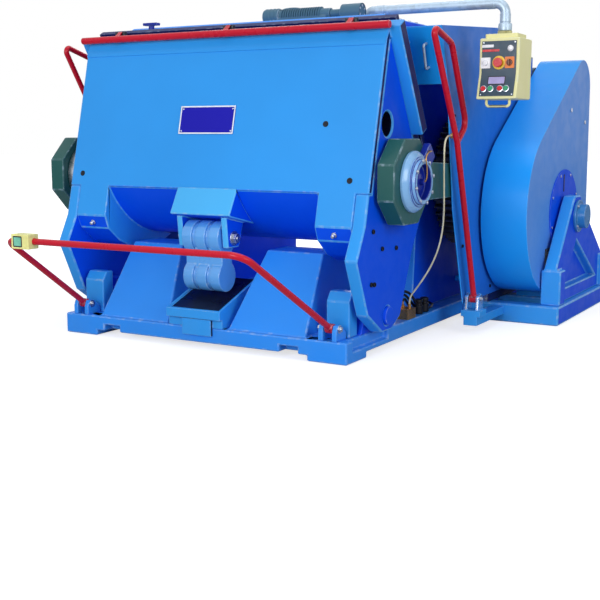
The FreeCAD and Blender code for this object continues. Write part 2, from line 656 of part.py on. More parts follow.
def guard_screws():
    """Screw heads round the oval cover, leaving out the place of the shaft, and on the guard above it."""
    heads = []
    inset = 18
    for i in range(7):
        angle = math.radians(22.5 + 45 * i)
        y = "oval_y + %.6f * (oval_half_width - %d)" % (math.cos(angle), inset)
        z = "oval_z + %.6f * (oval_half_height - %d)" % (math.sin(angle), inset)
        heads.append(
            drum(
                "oval_screw_%d" % i, "X", (y, z),
                ("drum_outer + oval_wall", "drum_outer + oval_wall + screw_wall"), "screw_radius",
            )
        )
    for i, (y, z) in enumerate((("motor_y - 215", "motor_z - 120"), ("motor_y + 60", "motor_z - 180"))):
        heads.append(
            drum(
                "guard_screw_%d" % i, "X", (y, z), ("drum_outer", "drum_outer + screw_wall"),
                "screw_radius * 1.6",
            )
        )
    return group("screws", heads)


def motor_body():
    """Totally enclosed motor with end bells, feet and a terminal box."""
    centre = ("motor_y", "motor_z")
    barrel = drum(
        "motor_barrel", "X", centre, ("motor_inner + 30", "motor_outer - 30"), "motor_radius - 8"
    )
    bells = [drum("motor_bell_back", "X", centre, ("motor_inner", "motor_inner + 60"), "motor_radius"),
             drum("motor_bell_front", "X", centre, ("motor_outer - 60", "motor_outer"), "motor_radius")]
    feet = block(
        "motor_feet", ("motor_inner + 40", "motor_outer - 40"), ("motor_y - 100", "motor_y + 100"),
        ("motor_z - motor_radius - 12", "motor_z - 60"),
    )
    terminals = block(
        "motor_terminals", ("motor_inner + 150", "motor_outer - 40"), ("motor_y - 60", "motor_y + 60"),
        ("motor_z + motor_radius - 40", "motor_z + motor_radius + 60"),
    )
    bore = drum(
        "motor_bore", "X", centre, ("motor_inner + 40", "motor_outer + 1"),
        "motor_shaft_radius + running_fit",
    )
    return cut("motor", join("motor_solids", [barrel, feet, terminals] + bells), bore)


def motor_mount():
    """Plate and brackets that carry the motor behind the right cheek."""
    top = "motor_z - motor_radius - 12"
    plate = block(
        "motor_plate", ("motor_inner", "motor_outer"), ("cheek_back_y", "motor_y + 130"),
        (top + " - 20", top),
    )
    outline = [
        ("cheek_back_y", top + " - 20"), ("cheek_back_y", top + " - 300"),
        ("cheek_back_y + 40", top + " - 300"), ("motor_y + 110", top + " - 20"),
    ]
    arms = [
        prism("motor_gusset_%d" % i, outline, (x, x + " + 30"))
        for i, x in enumerate(("cheek_inner + 5", "cheek_outer - 35"))
    ]
    return join("motor_mount_solid", [plate] + arms)


def drive_belts():
    """Three belts round the flywheel rim and the motor pulley."""
    belts = []
    for i in (-1, 0, 1):
        middle = "(flywheel_inner + flywheel_outer) / 2 + %d * belt_pitch" % i
        x = (middle + " - belt_width / 2", middle + " + belt_width / 2")
        outer = belt_wire((PINION_Y, PINION_Z, "flywheel_radius + belt_gap + belt_wall"),
                          ("motor_y", "motor_z", "pulley_radius + belt_gap + belt_wall"))
        inner = belt_wire(
            (PINION_Y, PINION_Z, "flywheel_radius + belt_gap"),
            ("motor_y", "motor_z", "pulley_radius + belt_gap"),
        )
        belts.append(made("belt_%d" % i, slab_x(outer, x).cut(slab_x(inner, x))))
    return group("belts", belts)


def oil_pump():
    """Pump block with reservoir head at the right of the oil set."""
    centre = ("oil_y", "oil_axis_z")
    head = drum("oil_head", "X", centre, ("oil_x + 330", "oil_x + 425"), "oil_head_radius * 1.08")
    foot = block(
        "oil_pump_foot", ("oil_x + 335", "oil_x + 420"), ("oil_y - 34", "oil_y + 34"),
        ("deck_top", "oil_axis_z"),
    )
    neck = drum("oil_neck", "X", centre, ("oil_x + 270", "oil_x + 330"), "oil_radius * 0.7")
    return join("oil_pump_solid", [head, foot, neck])


def oil_pump_motor():
    """Small foot-mounted motor that drives the oil pump."""
    centre = ("oil_y", "oil_axis_z")
    barrel = drum("oil_motor_barrel", "X", centre, ("oil_x", "oil_x + 270"), "oil_radius")
    bell = drum("oil_motor_bell", "X", centre, ("oil_x - 84", "oil_x"), "oil_head_radius")
    foot = block(
        "oil_motor_foot", ("oil_x - 70", "oil_x + 250"), ("oil_y - 30", "oil_y + 30"),
        ("deck_top", "oil_axis_z - 8"),
    )
    return join("oil_motor_solid", [barrel, bell, foot])


def pipe_post():
    """Flanged socket on the deck that the control arm turns in."""
    centre = ("post_x", "post_y")
    flange = drum("post_flange", "Z", centre, ("deck_top", "deck_top + 10"), "pipe_radius * 2.2")
    stub = drum("post_stub", "Z", centre, ("deck_top + 10", "deck_top + 26"), "pipe_radius * 1.25")
    return join("post_solid", [flange, stub])


def bar_brackets():
    """Two clevis brackets on the base for the feet of the front trip bar."""
    items = []
    for side in (1, -1):
        cheeks = []
        for offset in (1, -1):
            near = "bar_foot_x + %d * (tube_radius + 8 + bracket_wall / 2)" % offset
            outline = [
                ("2", "base_top"), ("bar_foot_y + 60", "base_top"),
                ("bar_foot_y + 60", "base_top + 30"), ("bar_foot_y + 16", "bar_foot_z + 16"),
                ("bar_foot_y - 16", "bar_foot_z + 16"), ("2", "bar_foot_z - 10"),
            ]
            cheeks.append(
                prism(
                    "bar_ear_%d_%d" % (side, offset), outline,
                    sided(side, near + " - bracket_wall / 2", near + " + bracket_wall / 2"),
                )
            )
        pin = drum(
            "bar_pin_%d" % side, "X", ("bar_foot_y", "bar_foot_z"),
            sided(side, "bar_foot_x - tube_radius - 12", "bar_foot_x + tube_radius + 12"),
            "bar_pin_radius",
        )
        items.append(join("bar_bracket_%d" % side, cheeks + [pin]))
    return group("bar_bracket_pair", items)


def lever_place(side):
    """X of a loop lever's middle plane, on its own side."""
    return "lever_x" if side > 0 else "(lever_x + lever_spread)"


def lever_brackets():
    """Clevis feet of the loop levers, on arms from the outrigger and from the base."""
    items = []
    for side in (1, -1):
        x = lever_place(side)
        if side > 0:
            span = (x + " - lever_arm_half", x + " + lever_arm_half")
            depth = ("lever_foot_y - 46", "outrigger_front_y")
        else:
            span = ("base_half_width", x + " + lever_block_half")
            depth = ("lever_foot_y - 46", "lever_foot_y + 46")
        arm = block(
            "lever_arm_%d" % side, sided(side, *span), depth, ("lever_arm_low", "lever_block_top - 30")
        )
        step = block(
            "lever_step_%d" % side, sided(side, x + " - lever_block_half", x + " + lever_block_half"),
            ("lever_foot_y - 46", "lever_foot_y + 46"), ("lever_block_top - 30", "lever_block_top"),
        )
        ears = []
        for offset in (1, -1):
            near = "%s + %d * (tube_radius + 6 + 8)" % (x, offset)
            outline = [
                ("lever_foot_y - 34", "lever_block_top"), ("lever_foot_y + 34", "lever_block_top"),
                ("lever_foot_y + 26", "lever_foot_z + 14"), ("lever_foot_y", "lever_foot_z + 28"),
                ("lever_foot_y - 26", "lever_foot_z + 14"),
            ]
            ears.append(
                prism(
                    "lever_ear_%d_%d" % (side, offset), outline,
                    sided(side, near + " - 8", near + " + 8"),
                )
            )
        pin = drum("lever_pin_%d" % side, "X", ("lever_foot_y", "lever_foot_z"),
                   sided(side, x + " - tube_radius - 10", x + " + tube_radius + 10"), "bar_pin_radius")
        items.append(join("lever_bracket_%d" % side, [arm, step, pin] + ears))
    return group("lever_bracket_pair", items)


HOSE_ROUTE = (
    (916, 700, 936), (916, 668, 936), (916, 640, 922), (917, 624, 892), (918, 619, 845),
    (919, 620, 765), (918, 628, 680), (914, 642, 590), (902, 657, 505), (878, 670, 420),
    (840, 678, 340), (796, 680, 272), (764, 676, 226), (743, 667, 196), (743, 667, 164),
)


def oil_fittings():
    """Oil manifold on the base and the elbow on the gear guard that the hose joins."""
    end = HOSE_ROUTE[-1]
    first = HOSE_ROUTE[0]
    body = block(
        "manifold_body", ("680", "756"), ("%d - 45" % end[1], "%d + 45" % end[1]),
        ("base_top", "base_top + 48"),
    )
    nipple = drum(
        "manifold_nipple", "Z", (str(end[0]), str(end[1])), ("base_top + 48", str(end[2])),
        "hose_radius * 1.8",
    )
    elbow = drum(
        "guard_nipple", "Y", (str(first[0]), str(first[2])), (str(first[1]), "%d + 40" % first[1]),
        "hose_radius * 1.8",
    )
    clip = block(
        "guard_nipple_clip", ("guard_plane + guard_wall", "%d" % first[0]),
        ("%d + 24" % first[1], "%d + 40" % first[1]), ("%d - 12" % first[2], "%d + 12" % first[2]),
    )
    return group(
        "oil_fitting_pair", [join("manifold", [body, nipple]), join("guard_elbow", [elbow, clip])]
    )


def oil_hose():
    """Thin oil line that hangs from the gear guard down to the manifold."""
    points = [Vector(*p) for p in HOSE_ROUTE]
    radii = []
    for before, corner, after in zip(points, points[1:], points[2:]):
        turn = math.pi - (before - corner).getAngle(after - corner)
        radii.append(0.45 * min((before - corner).Length, (after - corner).Length) / math.tan(turn / 2))
    print("oil hose bend radii, mm:", [round(r) for r in radii])
    wire = tube_wire(points, 1e6)
    ring = Part.Circle(points[0], (points[1] - points[0]).normalize(), value("hose_radius"))
    tube = wire.makePipeShell([Part.Wire([ring.toShape()])], True, False)
    expected = math.pi * value("hose_radius") ** 2 * wire.Length
    print("oil hose length %.0f mm, volume ratio %.4f" % (wire.Length, tube.Volume / expected))
    return made("hose_tube", tube)


def crank_shaft():
    return drum(
        "crank_bar", "X", ("crank_y", "crank_z"), ("-gear_outer", "gear_outer"), "crank_shaft_radius"
    )


def crank_gears():
    """Large gears outside the cheeks, dished between rim and hub, one tooth on the line of centres."""
    y, z = value("crank_y"), value("crank_z")
    teeth = int(value("gear_teeth"))
    wire = gear_wire(y, z, teeth, -math.radians(value("drive_drop")))
    gears = []
    root = "gear_module * (gear_teeth / 2 - 1.2)"
    for side in (1, -1):
        blank = made("gear_blank_%d" % side, slab_x(wire, sided(side, "gear_inner", "gear_outer")))
        x = sided(side, "gear_inner - 1", "gear_outer - gear_web")
        dish = cut(
            "gear_dish_%d" % side,
            drum("gear_dish_out_%d" % side, "X", ("crank_y", "crank_z"), x, root + " - gear_rim"),
            drum(
                "gear_hub_%d" % side, "X", ("crank_y", "crank_z"), (x[0] + " - 1", x[1] + " + 1"),
                "gear_hub",
            ),
        )
        bore = drum(
            "gear_bore_%d" % side, "X", ("crank_y", "crank_z"),
            sided(side, "gear_inner - 1", "gear_outer + 1"), "crank_shaft_radius",
        )
        gears.append(cut("gear_%d" % side, blank, dish, bore))
    return group("gear_pair", gears)


def pinion_shaft():
    return drum(
        "pinion_bar", "X", (PINION_Y, PINION_Z), ("-gear_outer", "shaft_end"), "pinion_shaft_radius"
    )


def pinions():
    """Small gears in mesh with the crank gears, one gap on the line of centres."""
    y, z = value(PINION_Y), value(PINION_Z)
    teeth = int(value("pinion_teeth"))
    first = math.pi - math.radians(value("drive_drop")) + math.pi / teeth
    wire = gear_wire(y, z, teeth, first)
    items = []
    for side in (1, -1):
        blank = made("pinion_blank_%d" % side, slab_x(wire, sided(side, "gear_inner", "gear_outer")))
        bore = drum(
            "pinion_bore_%d" % side, "X", (PINION_Y, PINION_Z),
            sided(side, "gear_inner - 1", "gear_outer + 1"), "pinion_shaft_radius",
        )
        items.append(cut("pinion_%d" % side, blank, bore))
    return group("pinion_pair", items)


def clutch_disc():
    x = ("flywheel_outer + clutch_gap", "flywheel_outer + clutch_gap + clutch_wall")
    disc = drum("clutch_plate", "X", (PINION_Y, PINION_Z), x, "clutch_radius")
    bore = drum(
        "clutch_bore", "X", (PINION_Y, PINION_Z), (x[0] + " - 1", x[1] + " + 1"), "pinion_shaft_radius"
    )
    return cut("clutch", disc, bore)


def flywheel():
    """Heavy rim on a web and hub, running free on the pinion shaft until the clutch grips."""
    centre = (PINION_Y, PINION_Z)
    rim = drum("flywheel_disc", "X", centre, ("flywheel_inner", "flywheel_outer"), "flywheel_radius")
    middle = "(flywheel_inner + flywheel_outer) / 2"
    tools = [
        drum(
            "flywheel_bore", "X", centre, ("flywheel_inner - 1", "flywheel_outer + 1"),
            "pinion_shaft_radius + running_fit",
        )
    ]
    dishes = [
        ("flywheel_inner - 1", middle + " - flywheel_web / 2"),
        (middle + " + flywheel_web / 2", "flywheel_outer + 1"),
    ]
    for i, x in enumerate(dishes):
        ring = drum("flywheel_ring_%d" % i, "X", centre, x, "flywheel_radius - flywheel_rim")
        hub = drum("flywheel_hub_%d" % i, "X", centre, (x[0] + " - 1", x[1] + " + 1"), "flywheel_hub")
        tools.append(cut("flywheel_dish_%d" % i, ring, hub))
    return cut("flywheel_solid", rim, *tools)


def motor_pulley():
    """Motor shaft with the belt pulley on its end."""
    centre = ("motor_y", "motor_z")
    shaft = drum(
        "motor_shaft", "X", centre, ("motor_inner + 45", "flywheel_outer + 10"), "motor_shaft_radius"
    )
    pulley = drum("pulley_disc", "X", centre, ("flywheel_inner", "flywheel_outer"), "pulley_radius")
    return join("pulley_solid", [shaft, pulley])


def platen_casting():
    """Front panel with its rolled-under lower edge, corner blocks, top chamfer and rear slab."""
    inner = "side_inner"
    wall = "panel_wall"
    x = (minus("side_outer"), "side_outer")
    panel = prism(
        "platen_panel",
        [
            (front_y("roll_start_z"), "roll_start_z"), ("fold_y", "fold_z"), ("crown_y", "crown_z"),
            ("crown_y + panel_wall", "crown_z - 8"), ("fold_y + panel_wall", "fold_z - 4"),
            (front_y("roll_start_z") + " + panel_wall", "roll_start_z"),
        ],
        x,
    )
    roll = roll_under((minus("block_inner"), "block_inner"), wall)
    low = [
        ("front_low_y", "front_low_z"), (front_y("roll_start_z"), "roll_start_z"),
        (front_y("roll_start_z") + " + panel_wall", "roll_start_z"), ("240", "576"), ("391", "490"),
        ("roll_back_y", "436"), ("500", "402"), ("388", "398"), ("250", "405"), ("177", "438"),
        ("100", "500"),
    ]
    blocks = [
        prism("corner_block_%d" % side, low, sided(side, "block_inner", inner)) for side in (1, -1)
    ]
    slab = leaning(
        "platen_slab", (minus("side_outer"), "side_outer"), ("-slab_rise", "slab_length"),
        ("0", "slab_wall"),
    )
    rims = [
        leaning(
            "platen_rim_%d" % side, sided(side, "side_outer", "rim_outer"),
            ("-slab_rise", "rim_length"), ("0", "slab_wall"),
        )
        for side in (1, -1)
    ]
    ribs = []
    for i in (-1, 0, 1):
        rib = [
            (front_y("roll_start_z + 60") + " + panel_wall", "roll_start_z + 60"),
            ("fold_y + panel_wall", "fold_z - 80"), plane_point("60", "0"),
            plane_point("slab_length - 100", "0"),
        ]
        ribs.append(prism("platen_rib_%d" % (i + 1), rib, ("%d * 370 - 15" % i, "%d * 370 + 15" % i)))
    return join("platen_solid", [panel, roll, slab] + blocks + rims + ribs)


def roll_under(x, wall):
    """Sector of a shell that carries the front panel round under the platen."""
    sectors = []
    for tag, radius, grow in (("out", "roll_radius", "0"), ("in", "roll_radius - " + wall, "1")):
        sectors.append(
            drum(
                "roll_" + tag, "X", ("roll_y", "roll_z"),
                ("%s - %s" % (x[0], grow), "%s + %s" % (x[1], grow)), radius,
            )
        )
    shell = cut("roll_shell", sectors[0], sectors[1])
    start = front_y("roll_start_z")
    below = "(roll_z - 2 * roll_radius)"
    wedge = prism(
        "roll_wedge",
        [
            (start + " - 2 * panel_wall", "roll_start_z"),
            (start + " + 2 * panel_wall", "roll_start_z"),
            ("roll_back_y", "roll_z - roll_radius + 2 * panel_wall"), ("roll_back_y", below),
            (start + " - 2 * panel_wall", below),
        ],
        x,
    )
    kept = doc.addObject("Part::Common", "roll_kept")
    kept.Base = shell
    kept.Tool = wedge
    return kept


def platen_sides():
    """Side plates of the platen with legs down to the rocking feet."""
    plates = []
    outline = [
        ("front_low_y", "front_low_z"), (front_y("roll_start_z"), "roll_start_z"),
        (front_y("roll_start_z") + " + panel_wall", "roll_start_z"),
        ("fold_y + panel_wall", "fold_z - 4"), plane_point("8", "0"), plane_point("slab_length", "0"),
        ("hip_y", "hip_z"), ("heel_y", "heel_z"),
        ("pivot_y + foot_radius * 0.7", "pivot_z - foot_radius"),
        ("pivot_y - foot_radius * 0.7", "pivot_z - foot_radius"), ("toe_y", "toe_z"),
        ("knee_y", "knee_z"),
    ]
    holes = [
        ("pivot_y", "pivot_z", "pivot_pin_radius + running_fit"),
        ("trunnion_y", "trunnion_z", "trunnion_radius"),
        ("web_hole_y", "web_hole_z", "web_hole_radius"),
    ]
    for side in (1, -1):
        plates.append(
            prism("side_plate_%d" % side, outline, sided(side, "side_inner", "side_outer"), holes)
        )
    return group("side_plates", plates)


def platen_plate():
    """Steel pressing plate on the platen's working face."""
    return leaning(
        "press_plate", ("-plate_half_width", "plate_half_width"), ("10", "slab_length - 20"),
        ("slab_wall", PLATE_BACK),
    )


def trunnion_pins():
    """Trunnions through the side plates, with the thrust washers inside the arms."""
    pins = []
    for side in (1, -1):
        centre = ("trunnion_y", "trunnion_z")
        pin = drum(
            "trunnion_%d" % side, "X", centre,
            sided(side, "side_inner", spread(side, "arm_outer") + " - 4"), "trunnion_radius",
        )
        washer = drum(
            "washer_%d" % side, "X", centre,
            sided(side, "side_outer", spread(side, "side_outer + washer_wall")), "washer_radius",
        )
        pins.append(join("trunnion_pin_%d" % side, [pin, washer]))
    return group("trunnion_pair", pins)


def centre_boss():
    """Boss under the front panel, with two ears and the pin that the link hangs on."""
    half = "boss_half_width"
    outline = [
        (front_y("boss_top") + " - 2", "boss_top"), ("boss_front_y", "boss_low"),
        ("boss_front_y + 16", "boss_low - 8"), ("boss_back_y", "boss_back_z"),
        ("boss_back_y", "boss_low + 30"),
    ]
    body = prism("boss_body", outline, (minus(half), half))
    ears = []
    near = "link_half_width + ear_gap"
    for side in (1, -1):
        ear = [
            ("link_y - 45", "ear_low"), ("link_y + 45", "ear_low"), ("link_y + 90", "boss_low - 10"),
            ("link_y - 60", "boss_low - 10"),
        ]
        ears.append(prism("boss_ear_%d" % side, ear, sided(side, near, near + " + ear_wall")))
    pin = drum(
        "link_pin", "X", ("link_y", "link_top_z"), (minus(near + " + ear_wall"), near + " + ear_wall"),
        "link_pin_radius",
    )
    boss = join("boss_solids", [body, pin] + ears)
    return cut("boss_solid", boss, doc.getObject("platen_panel"), doc.getObject("roll_out"))


def name_plate():
    """Bare plate on the front panel."""
    low, high = "plate_low", "plate_high"
    outline = [
        (front_y(low), low), (front_y(low) + " - 3", low), (front_y(high) + " - 3", high),
        (front_y(high), high),
    ]
    return prism("plate_blank", outline, ("plate_left", "plate_right"))


def bar_clips():
    """Hinge lugs along the platen's top edge for the top safety bar."""
    items = []
    for i in (-1, 0, 1):
        middle = "%d * clip_x" % i
        lug = [
            ("clip_hinge_y - 12", slab_end("clip_hinge_y - 12")),
            ("clip_hinge_y + 14", slab_end("clip_hinge_y + 14")),
            ("clip_hinge_y + 10", "clip_hinge_z + 10"), ("clip_hinge_y - 10", "clip_hinge_z + 10"),
        ]
        lugs = []
        for offset in (1, -1):
            near = "%s + %d * clip_width / 2" % (middle, offset)
            lugs.append(prism("clip_lug_%d_%d" % (i + 1, offset), lug, (near + " - 5", near + " + 5")))
        pin = drum("clip_pin_%d" % (i + 1), "X", ("clip_hinge_y", "clip_hinge_z"),
                   (middle + " - clip_width / 2", middle + " + clip_width / 2"), "clip_pin_radius")
        items.append(join("clip_%d" % (i + 1), lugs + [pin]))
    return group("clip_row", items)


def arm(side):
    """Connecting arm: eight-sided head on the trunnion, shank, and rear eye with the crank pin."""
    tag = "right" if side > 0 else "left"
    inner, outer = spread(side, "arm_inner"), spread(side, "arm_outer")
    x = sided(side, inner, outer)
    corner = "head_apothem * tan(22.5)"
    head = []
    flat = "head_apothem"
    corners = [
        (flat, corner), (corner, flat), (minus(corner), flat), (minus(flat), corner),
        (minus(flat), minus(corner)), (minus(corner), minus(flat)),
        (corner, minus(flat)), (flat, minus(corner)),
    ]
    for y, z in corners:
        head.append(("trunnion_y + (%s)" % y, "trunnion_z + (%s)" % z))
    octagon = prism("arm_head_" + tag, head, x)
    rise_y, rise_z = "shank_half_height * %s / %s" % (
        ROD_Z, ROD_REACH
    ), "shank_half_height * %s / %s" % (ROD_Y, ROD_REACH)
    shank = prism(
        "arm_shank_" + tag,
        [
            ("trunnion_y - 1.4 * (%s)" % rise_y, "trunnion_z + 1.4 * (%s)" % rise_z),
            ("trunnion_y + 1.4 * (%s)" % rise_y, "trunnion_z - 1.4 * (%s)" % rise_z),
            (WRIST_Y + " + " + rise_y, WRIST_Z + " - " + rise_z),
            (WRIST_Y + " - " + rise_y, WRIST_Z + " + " + rise_z),
        ],
        x,
    )
    eye = drum("arm_eye_" + tag, "X", (WRIST_Y, WRIST_Z), x, "eye_radius")
    pin = drum(
        "arm_wrist_" + tag, "X", (WRIST_Y, WRIST_Z), sided(side, "gear_outer + pin_gap", inner),
        "crank_pin_radius",
    )
    bore_x = sided(side, inner + " - 1", outer + " + 1")
    bore = drum(
        "arm_bore_" + tag, "X", ("trunnion_y", "trunnion_z"), bore_x, "trunnion_radius + running_fit"
    )
    return cut("arm_" + tag, join("arm_solids_" + tag, [octagon, shank, eye, pin]), bore)


def arm_cap(side):
    """Round cap on the outside of the arm's head, with the key block above it."""
    tag = "right" if side > 0 else "left"
    centre = ("trunnion_y", "trunnion_z")
    base, top = spread(side, "arm_outer"), spread(side, "cap_outer")
    ring = drum("cap_ring_" + tag, "X", centre, sided(side, base, top + " - 18"), "cap_radius")
    face = drum("cap_face_" + tag, "X", centre, sided(side, top + " - 18", top), "cap_radius - 12")
    sink = drum(
        "cap_sink_" + tag, "X", centre, sided(side, top + " - 30", top + " + 1"), "cap_core_radius"
    )
    key = [
        ("trunnion_y + 22", "trunnion_z + 78"),
        ("trunnion_y + 22 + key_length * 0.62", "trunnion_z + 78 + key_length * 0.55"),
        (
            "trunnion_y + 22 + key_length * 0.62 + key_width * 0.6",
            "trunnion_z + 78 + key_length * 0.55 - key_width * 0.62",
        ),
        ("trunnion_y + 22 + key_width * 0.6", "trunnion_z + 78 - key_width * 0.62"),
    ]
    block_key = prism("cap_key_" + tag, key, sided(side, base, top + " - 24"))
    return cut("cap_" + tag, join("cap_solids_" + tag, [ring, face, block_key]), sink)


def balance_link():
    """Two-lobed link of three joined straps that hangs on the boss pin."""
    straps = []
    for i in (-1, 0, 1):
        middle = "%d * (link_half_width - strap_width / 2)" % i
        x = (middle + " - strap_width / 2", middle + " + strap_width / 2")
        straps.append(
            drum("strap_top_%d" % (i + 1), "X", ("link_y", "link_top_z"), x, "link_top_radius")
        )
        straps.append(
            drum("strap_low_%d" % (i + 1), "X", ("link_y", "link_low_z"), x, "link_low_radius")
        )
    core = [
        drum(
            "link_core_top", "X", ("link_y", "link_top_z"), ("-link_half_width", "link_half_width"),
            "link_top_radius - 12",
        ),
        drum(
            "link_core_low", "X", ("link_y", "link_low_z"), ("-link_half_width", "link_half_width"),
            "link_low_radius - 12",
        ),
        block(
            "link_neck", ("-link_half_width", "link_half_width"),
            ("link_y - link_waist", "link_y + link_waist"), ("link_low_z", "link_top_z"),
        ),
    ]
    bore = drum(
        "link_bore", "X", ("link_y", "link_top_z"), ("-link_half_width - 1", "link_half_width + 1"),
        "link_pin_radius + running_fit",
    )
    return cut("link", join("link_solids", straps + core), bore)


def top_safety_bar():
    """Long flat-ended bar along the platen's top edge on three hinge arms."""
    tube = drum(
        "top_tube", "X", ("top_bar_y", "top_bar_z"), ("-top_bar_half", "top_bar_half"), "top_bar_radius"
    )
    arms = []
    for i in (-1, 0, 1):
        middle = "%d * clip_x" % i
        outline = [
            ("top_bar_y", "top_bar_z - 9"), ("clip_hinge_y", "clip_hinge_z - 12"),
            ("clip_hinge_y + 12", "clip_hinge_z"), ("clip_hinge_y", "clip_hinge_z + 12"),
            ("top_bar_y", "top_bar_z + 9"),
        ]
        plate = prism("top_arm_%d" % (i + 1), outline, (middle + " - 12", middle + " + 12"),
                      [("clip_hinge_y", "clip_hinge_z", "clip_pin_radius + running_fit")])
        arms.append(plate)
    return join("top_bar_solid", [tube] + arms)


def front_bar():
    """Bent tube across the front, hinged at its two feet."""
    foot = ("bar_foot_x", "bar_foot_y", "bar_foot_z")
    corner = ("bar_corner_x", "bar_corner_y", "bar_corner_z")
    mirror = [(minus(p[0]), p[1], p[2]) for p in (corner, foot)]
    tube = made("bar_tube", tube_shape([foot, corner] + mirror, "tube_radius", "bar_bend"))
    solids = [tube]
    tools = []
    for side in (1, -1):
        x = sided(side, "bar_foot_x - tube_radius - 5", "bar_foot_x + tube_radius + 5")
        solids.append(
            drum("bar_eye_%d" % side, "X", ("bar_foot_y", "bar_foot_z"), x, "tube_radius * 1.5")
        )
        tools.append(
            drum(
                "bar_eye_bore_%d" % side, "X", ("bar_foot_y", "bar_foot_z"),
                (x[0] + " - 1", x[1] + " + 1"), "bar_pin_radius + running_fit",
            )
        )
    return cut("front_bar_solid", join("front_bar_solids", solids), *tools)


def bar_switch_box():
    """Small switch box clamped on the left corner of the front bar."""
    x = ("-bar_corner_x + bar_bend", "-bar_corner_x + bar_bend + switch_length")
    middle = ("bar_corner_y", "bar_corner_z")
    box = block(
        "switch_block", x, (middle[0] + " - switch_size * 0.62", middle[0] + " + switch_size * 0.4"),
        (middle[1] + " - switch_size / 2", middle[1] + " + switch_size / 2"),
    )
    bore = drum("switch_bore", "X", middle, (x[0] + " - 1", x[1] + " + 1"), "tube_radius")
    return cut("switch_box", box, bore)


def lever(side):
    """Tall lever: a rod from the foot clevis that opens into a long loop handle."""
    tag = "right" if side > 0 else "left"
    x = lever_place(side) if side > 0 else minus(lever_place(side))
    crest_y, crest_z = "(lever_tip_y + lever_heel_y) / 2", "(lever_tip_z + lever_heel_z) / 2"
    front = [(x, "lever_foot_y", "lever_foot_z"), (x, "lever_fork_y", "lever_fork_z"),
             (x, "lever_tip_y", "lever_tip_z"), (x, crest_y, crest_z)]
    back = [
        (x, crest_y, crest_z), (x, "lever_heel_y", "lever_heel_z"), (x, "lever_back_y", "lever_back_z"),
        (x, "lever_fork_y", "lever_fork_z"),
    ]
    solids = [made("lever_front_" + tag, tube_shape(front, "tube_radius", "lever_bend")),
              made("lever_back_" + tag, tube_shape(back, "tube_radius", "lever_bend"))]
    eye_x = sided(
        side, lever_place(side) + " - tube_radius - 4", lever_place(side) + " + tube_radius + 4"
    )
    solids.append(
        drum("lever_eye_" + tag, "X", ("lever_foot_y", "lever_foot_z"), eye_x, "tube_radius * 1.5")
    )
    bore = drum(
        "lever_bore_" + tag, "X", ("lever_foot_y", "lever_foot_z"),
        (eye_x[0] + " - 1", eye_x[1] + " + 1"), "bar_pin_radius + running_fit",
    )
    return cut("lever_" + tag, join("lever_solids_" + tag, solids), bore)


def control_pipe():
    """Galvanised pipe arm from the deck post out over the right side and down to the box."""
    low = "deck_top + 26 + seat_gap"
    route = [
        ("post_x", "post_y", low), ("post_x", "post_y", "pipe_z"), ("box_x", "post_y", "pipe_z"),
        ("box_x", "post_y", "box_top + 34"),
    ]
    pipe = made("pipe_run", tube_shape(route, "pipe_radius", "pipe_bend"))
    stub = drum(
        "pipe_spigot", "Z", ("box_x", "post_y"), ("box_top + 6", "box_top + 34"), "pipe_radius * 0.7"
    )
    return join("pipe_solid", [pipe, stub])


BOX_FRONT = "(post_y - box_front)"


def control_box():
    """Cream box with a lower front that slopes out, a socket on top and a pull handle below."""
    outline = [
        (BOX_FRONT, "box_top"), (BOX_FRONT, "box_break_z"), (BOX_FRONT + " - box_nose", "box_low"),
        ("post_y + box_back", "box_low"), ("post_y + box_back", "box_top"),
    ]
    left, right = "box_x - box_half_width", "box_x + box_half_width"
    shell = prism("box_shell", outline, (left, right))
    socket = drum(
        "box_socket", "Z", ("box_x", "post_y"), ("box_top", "box_top + 32"), "pipe_radius * 1.3"
    )
    bore = drum(
        "box_socket_bore", "Z", ("box_x", "post_y"), ("box_top + 4", "box_top + 33"),
        "pipe_radius * 0.7 + running_fit",
    )
    route = [("box_x - 52", BOX_FRONT, "box_low + 4"), ("box_x - 52", BOX_FRONT, "box_low - 30"),
             ("box_x + 52", BOX_FRONT, "box_low - 30"), ("box_x + 52", BOX_FRONT, "box_low + 4")]
    grip = made("box_grip", tube_shape(route, "guard_wall", "14"))
    return cut("box_solid", join("box_solids", [shell, socket, grip]), bore, *button_wells("box"))


def control_panel():
    """Dark operator panel on the box front, with wells for the push buttons."""
    left, right = "box_x - box_half_width + panel_margin", "box_x + box_half_width - panel_margin"
    upper = block(
        "panel_upper", (left, right), (BOX_FRONT + " - panel_wall_thin", BOX_FRONT),
        ("box_break_z", "box_top - panel_margin"),
    )
    slope = "box_nose / (box_break_z - box_low)"
    low_z = "box_low + panel_margin"
    low_y = "(%s - (box_break_z - (%s)) * %s)" % (BOX_FRONT, low_z, slope)
    lower = prism(
        "panel_lower",
        [
            (BOX_FRONT, "box_break_z"), (BOX_FRONT + " - panel_wall_thin", "box_break_z"),
            (low_y + " - panel_wall_thin", low_z), (low_y, low_z),
        ],
        (left, right),
    )
    return cut("panel_cut", join("panel_solid", [upper, lower]), *button_wells("panel"))


PANEL_FACE = BOX_FRONT + " - panel_wall_thin"
UPPER_ROW_Z = "box_top - upper_row_drop"
ROW_BUTTONS = ("stop_button", "start_button", "hold_button", "run_button")


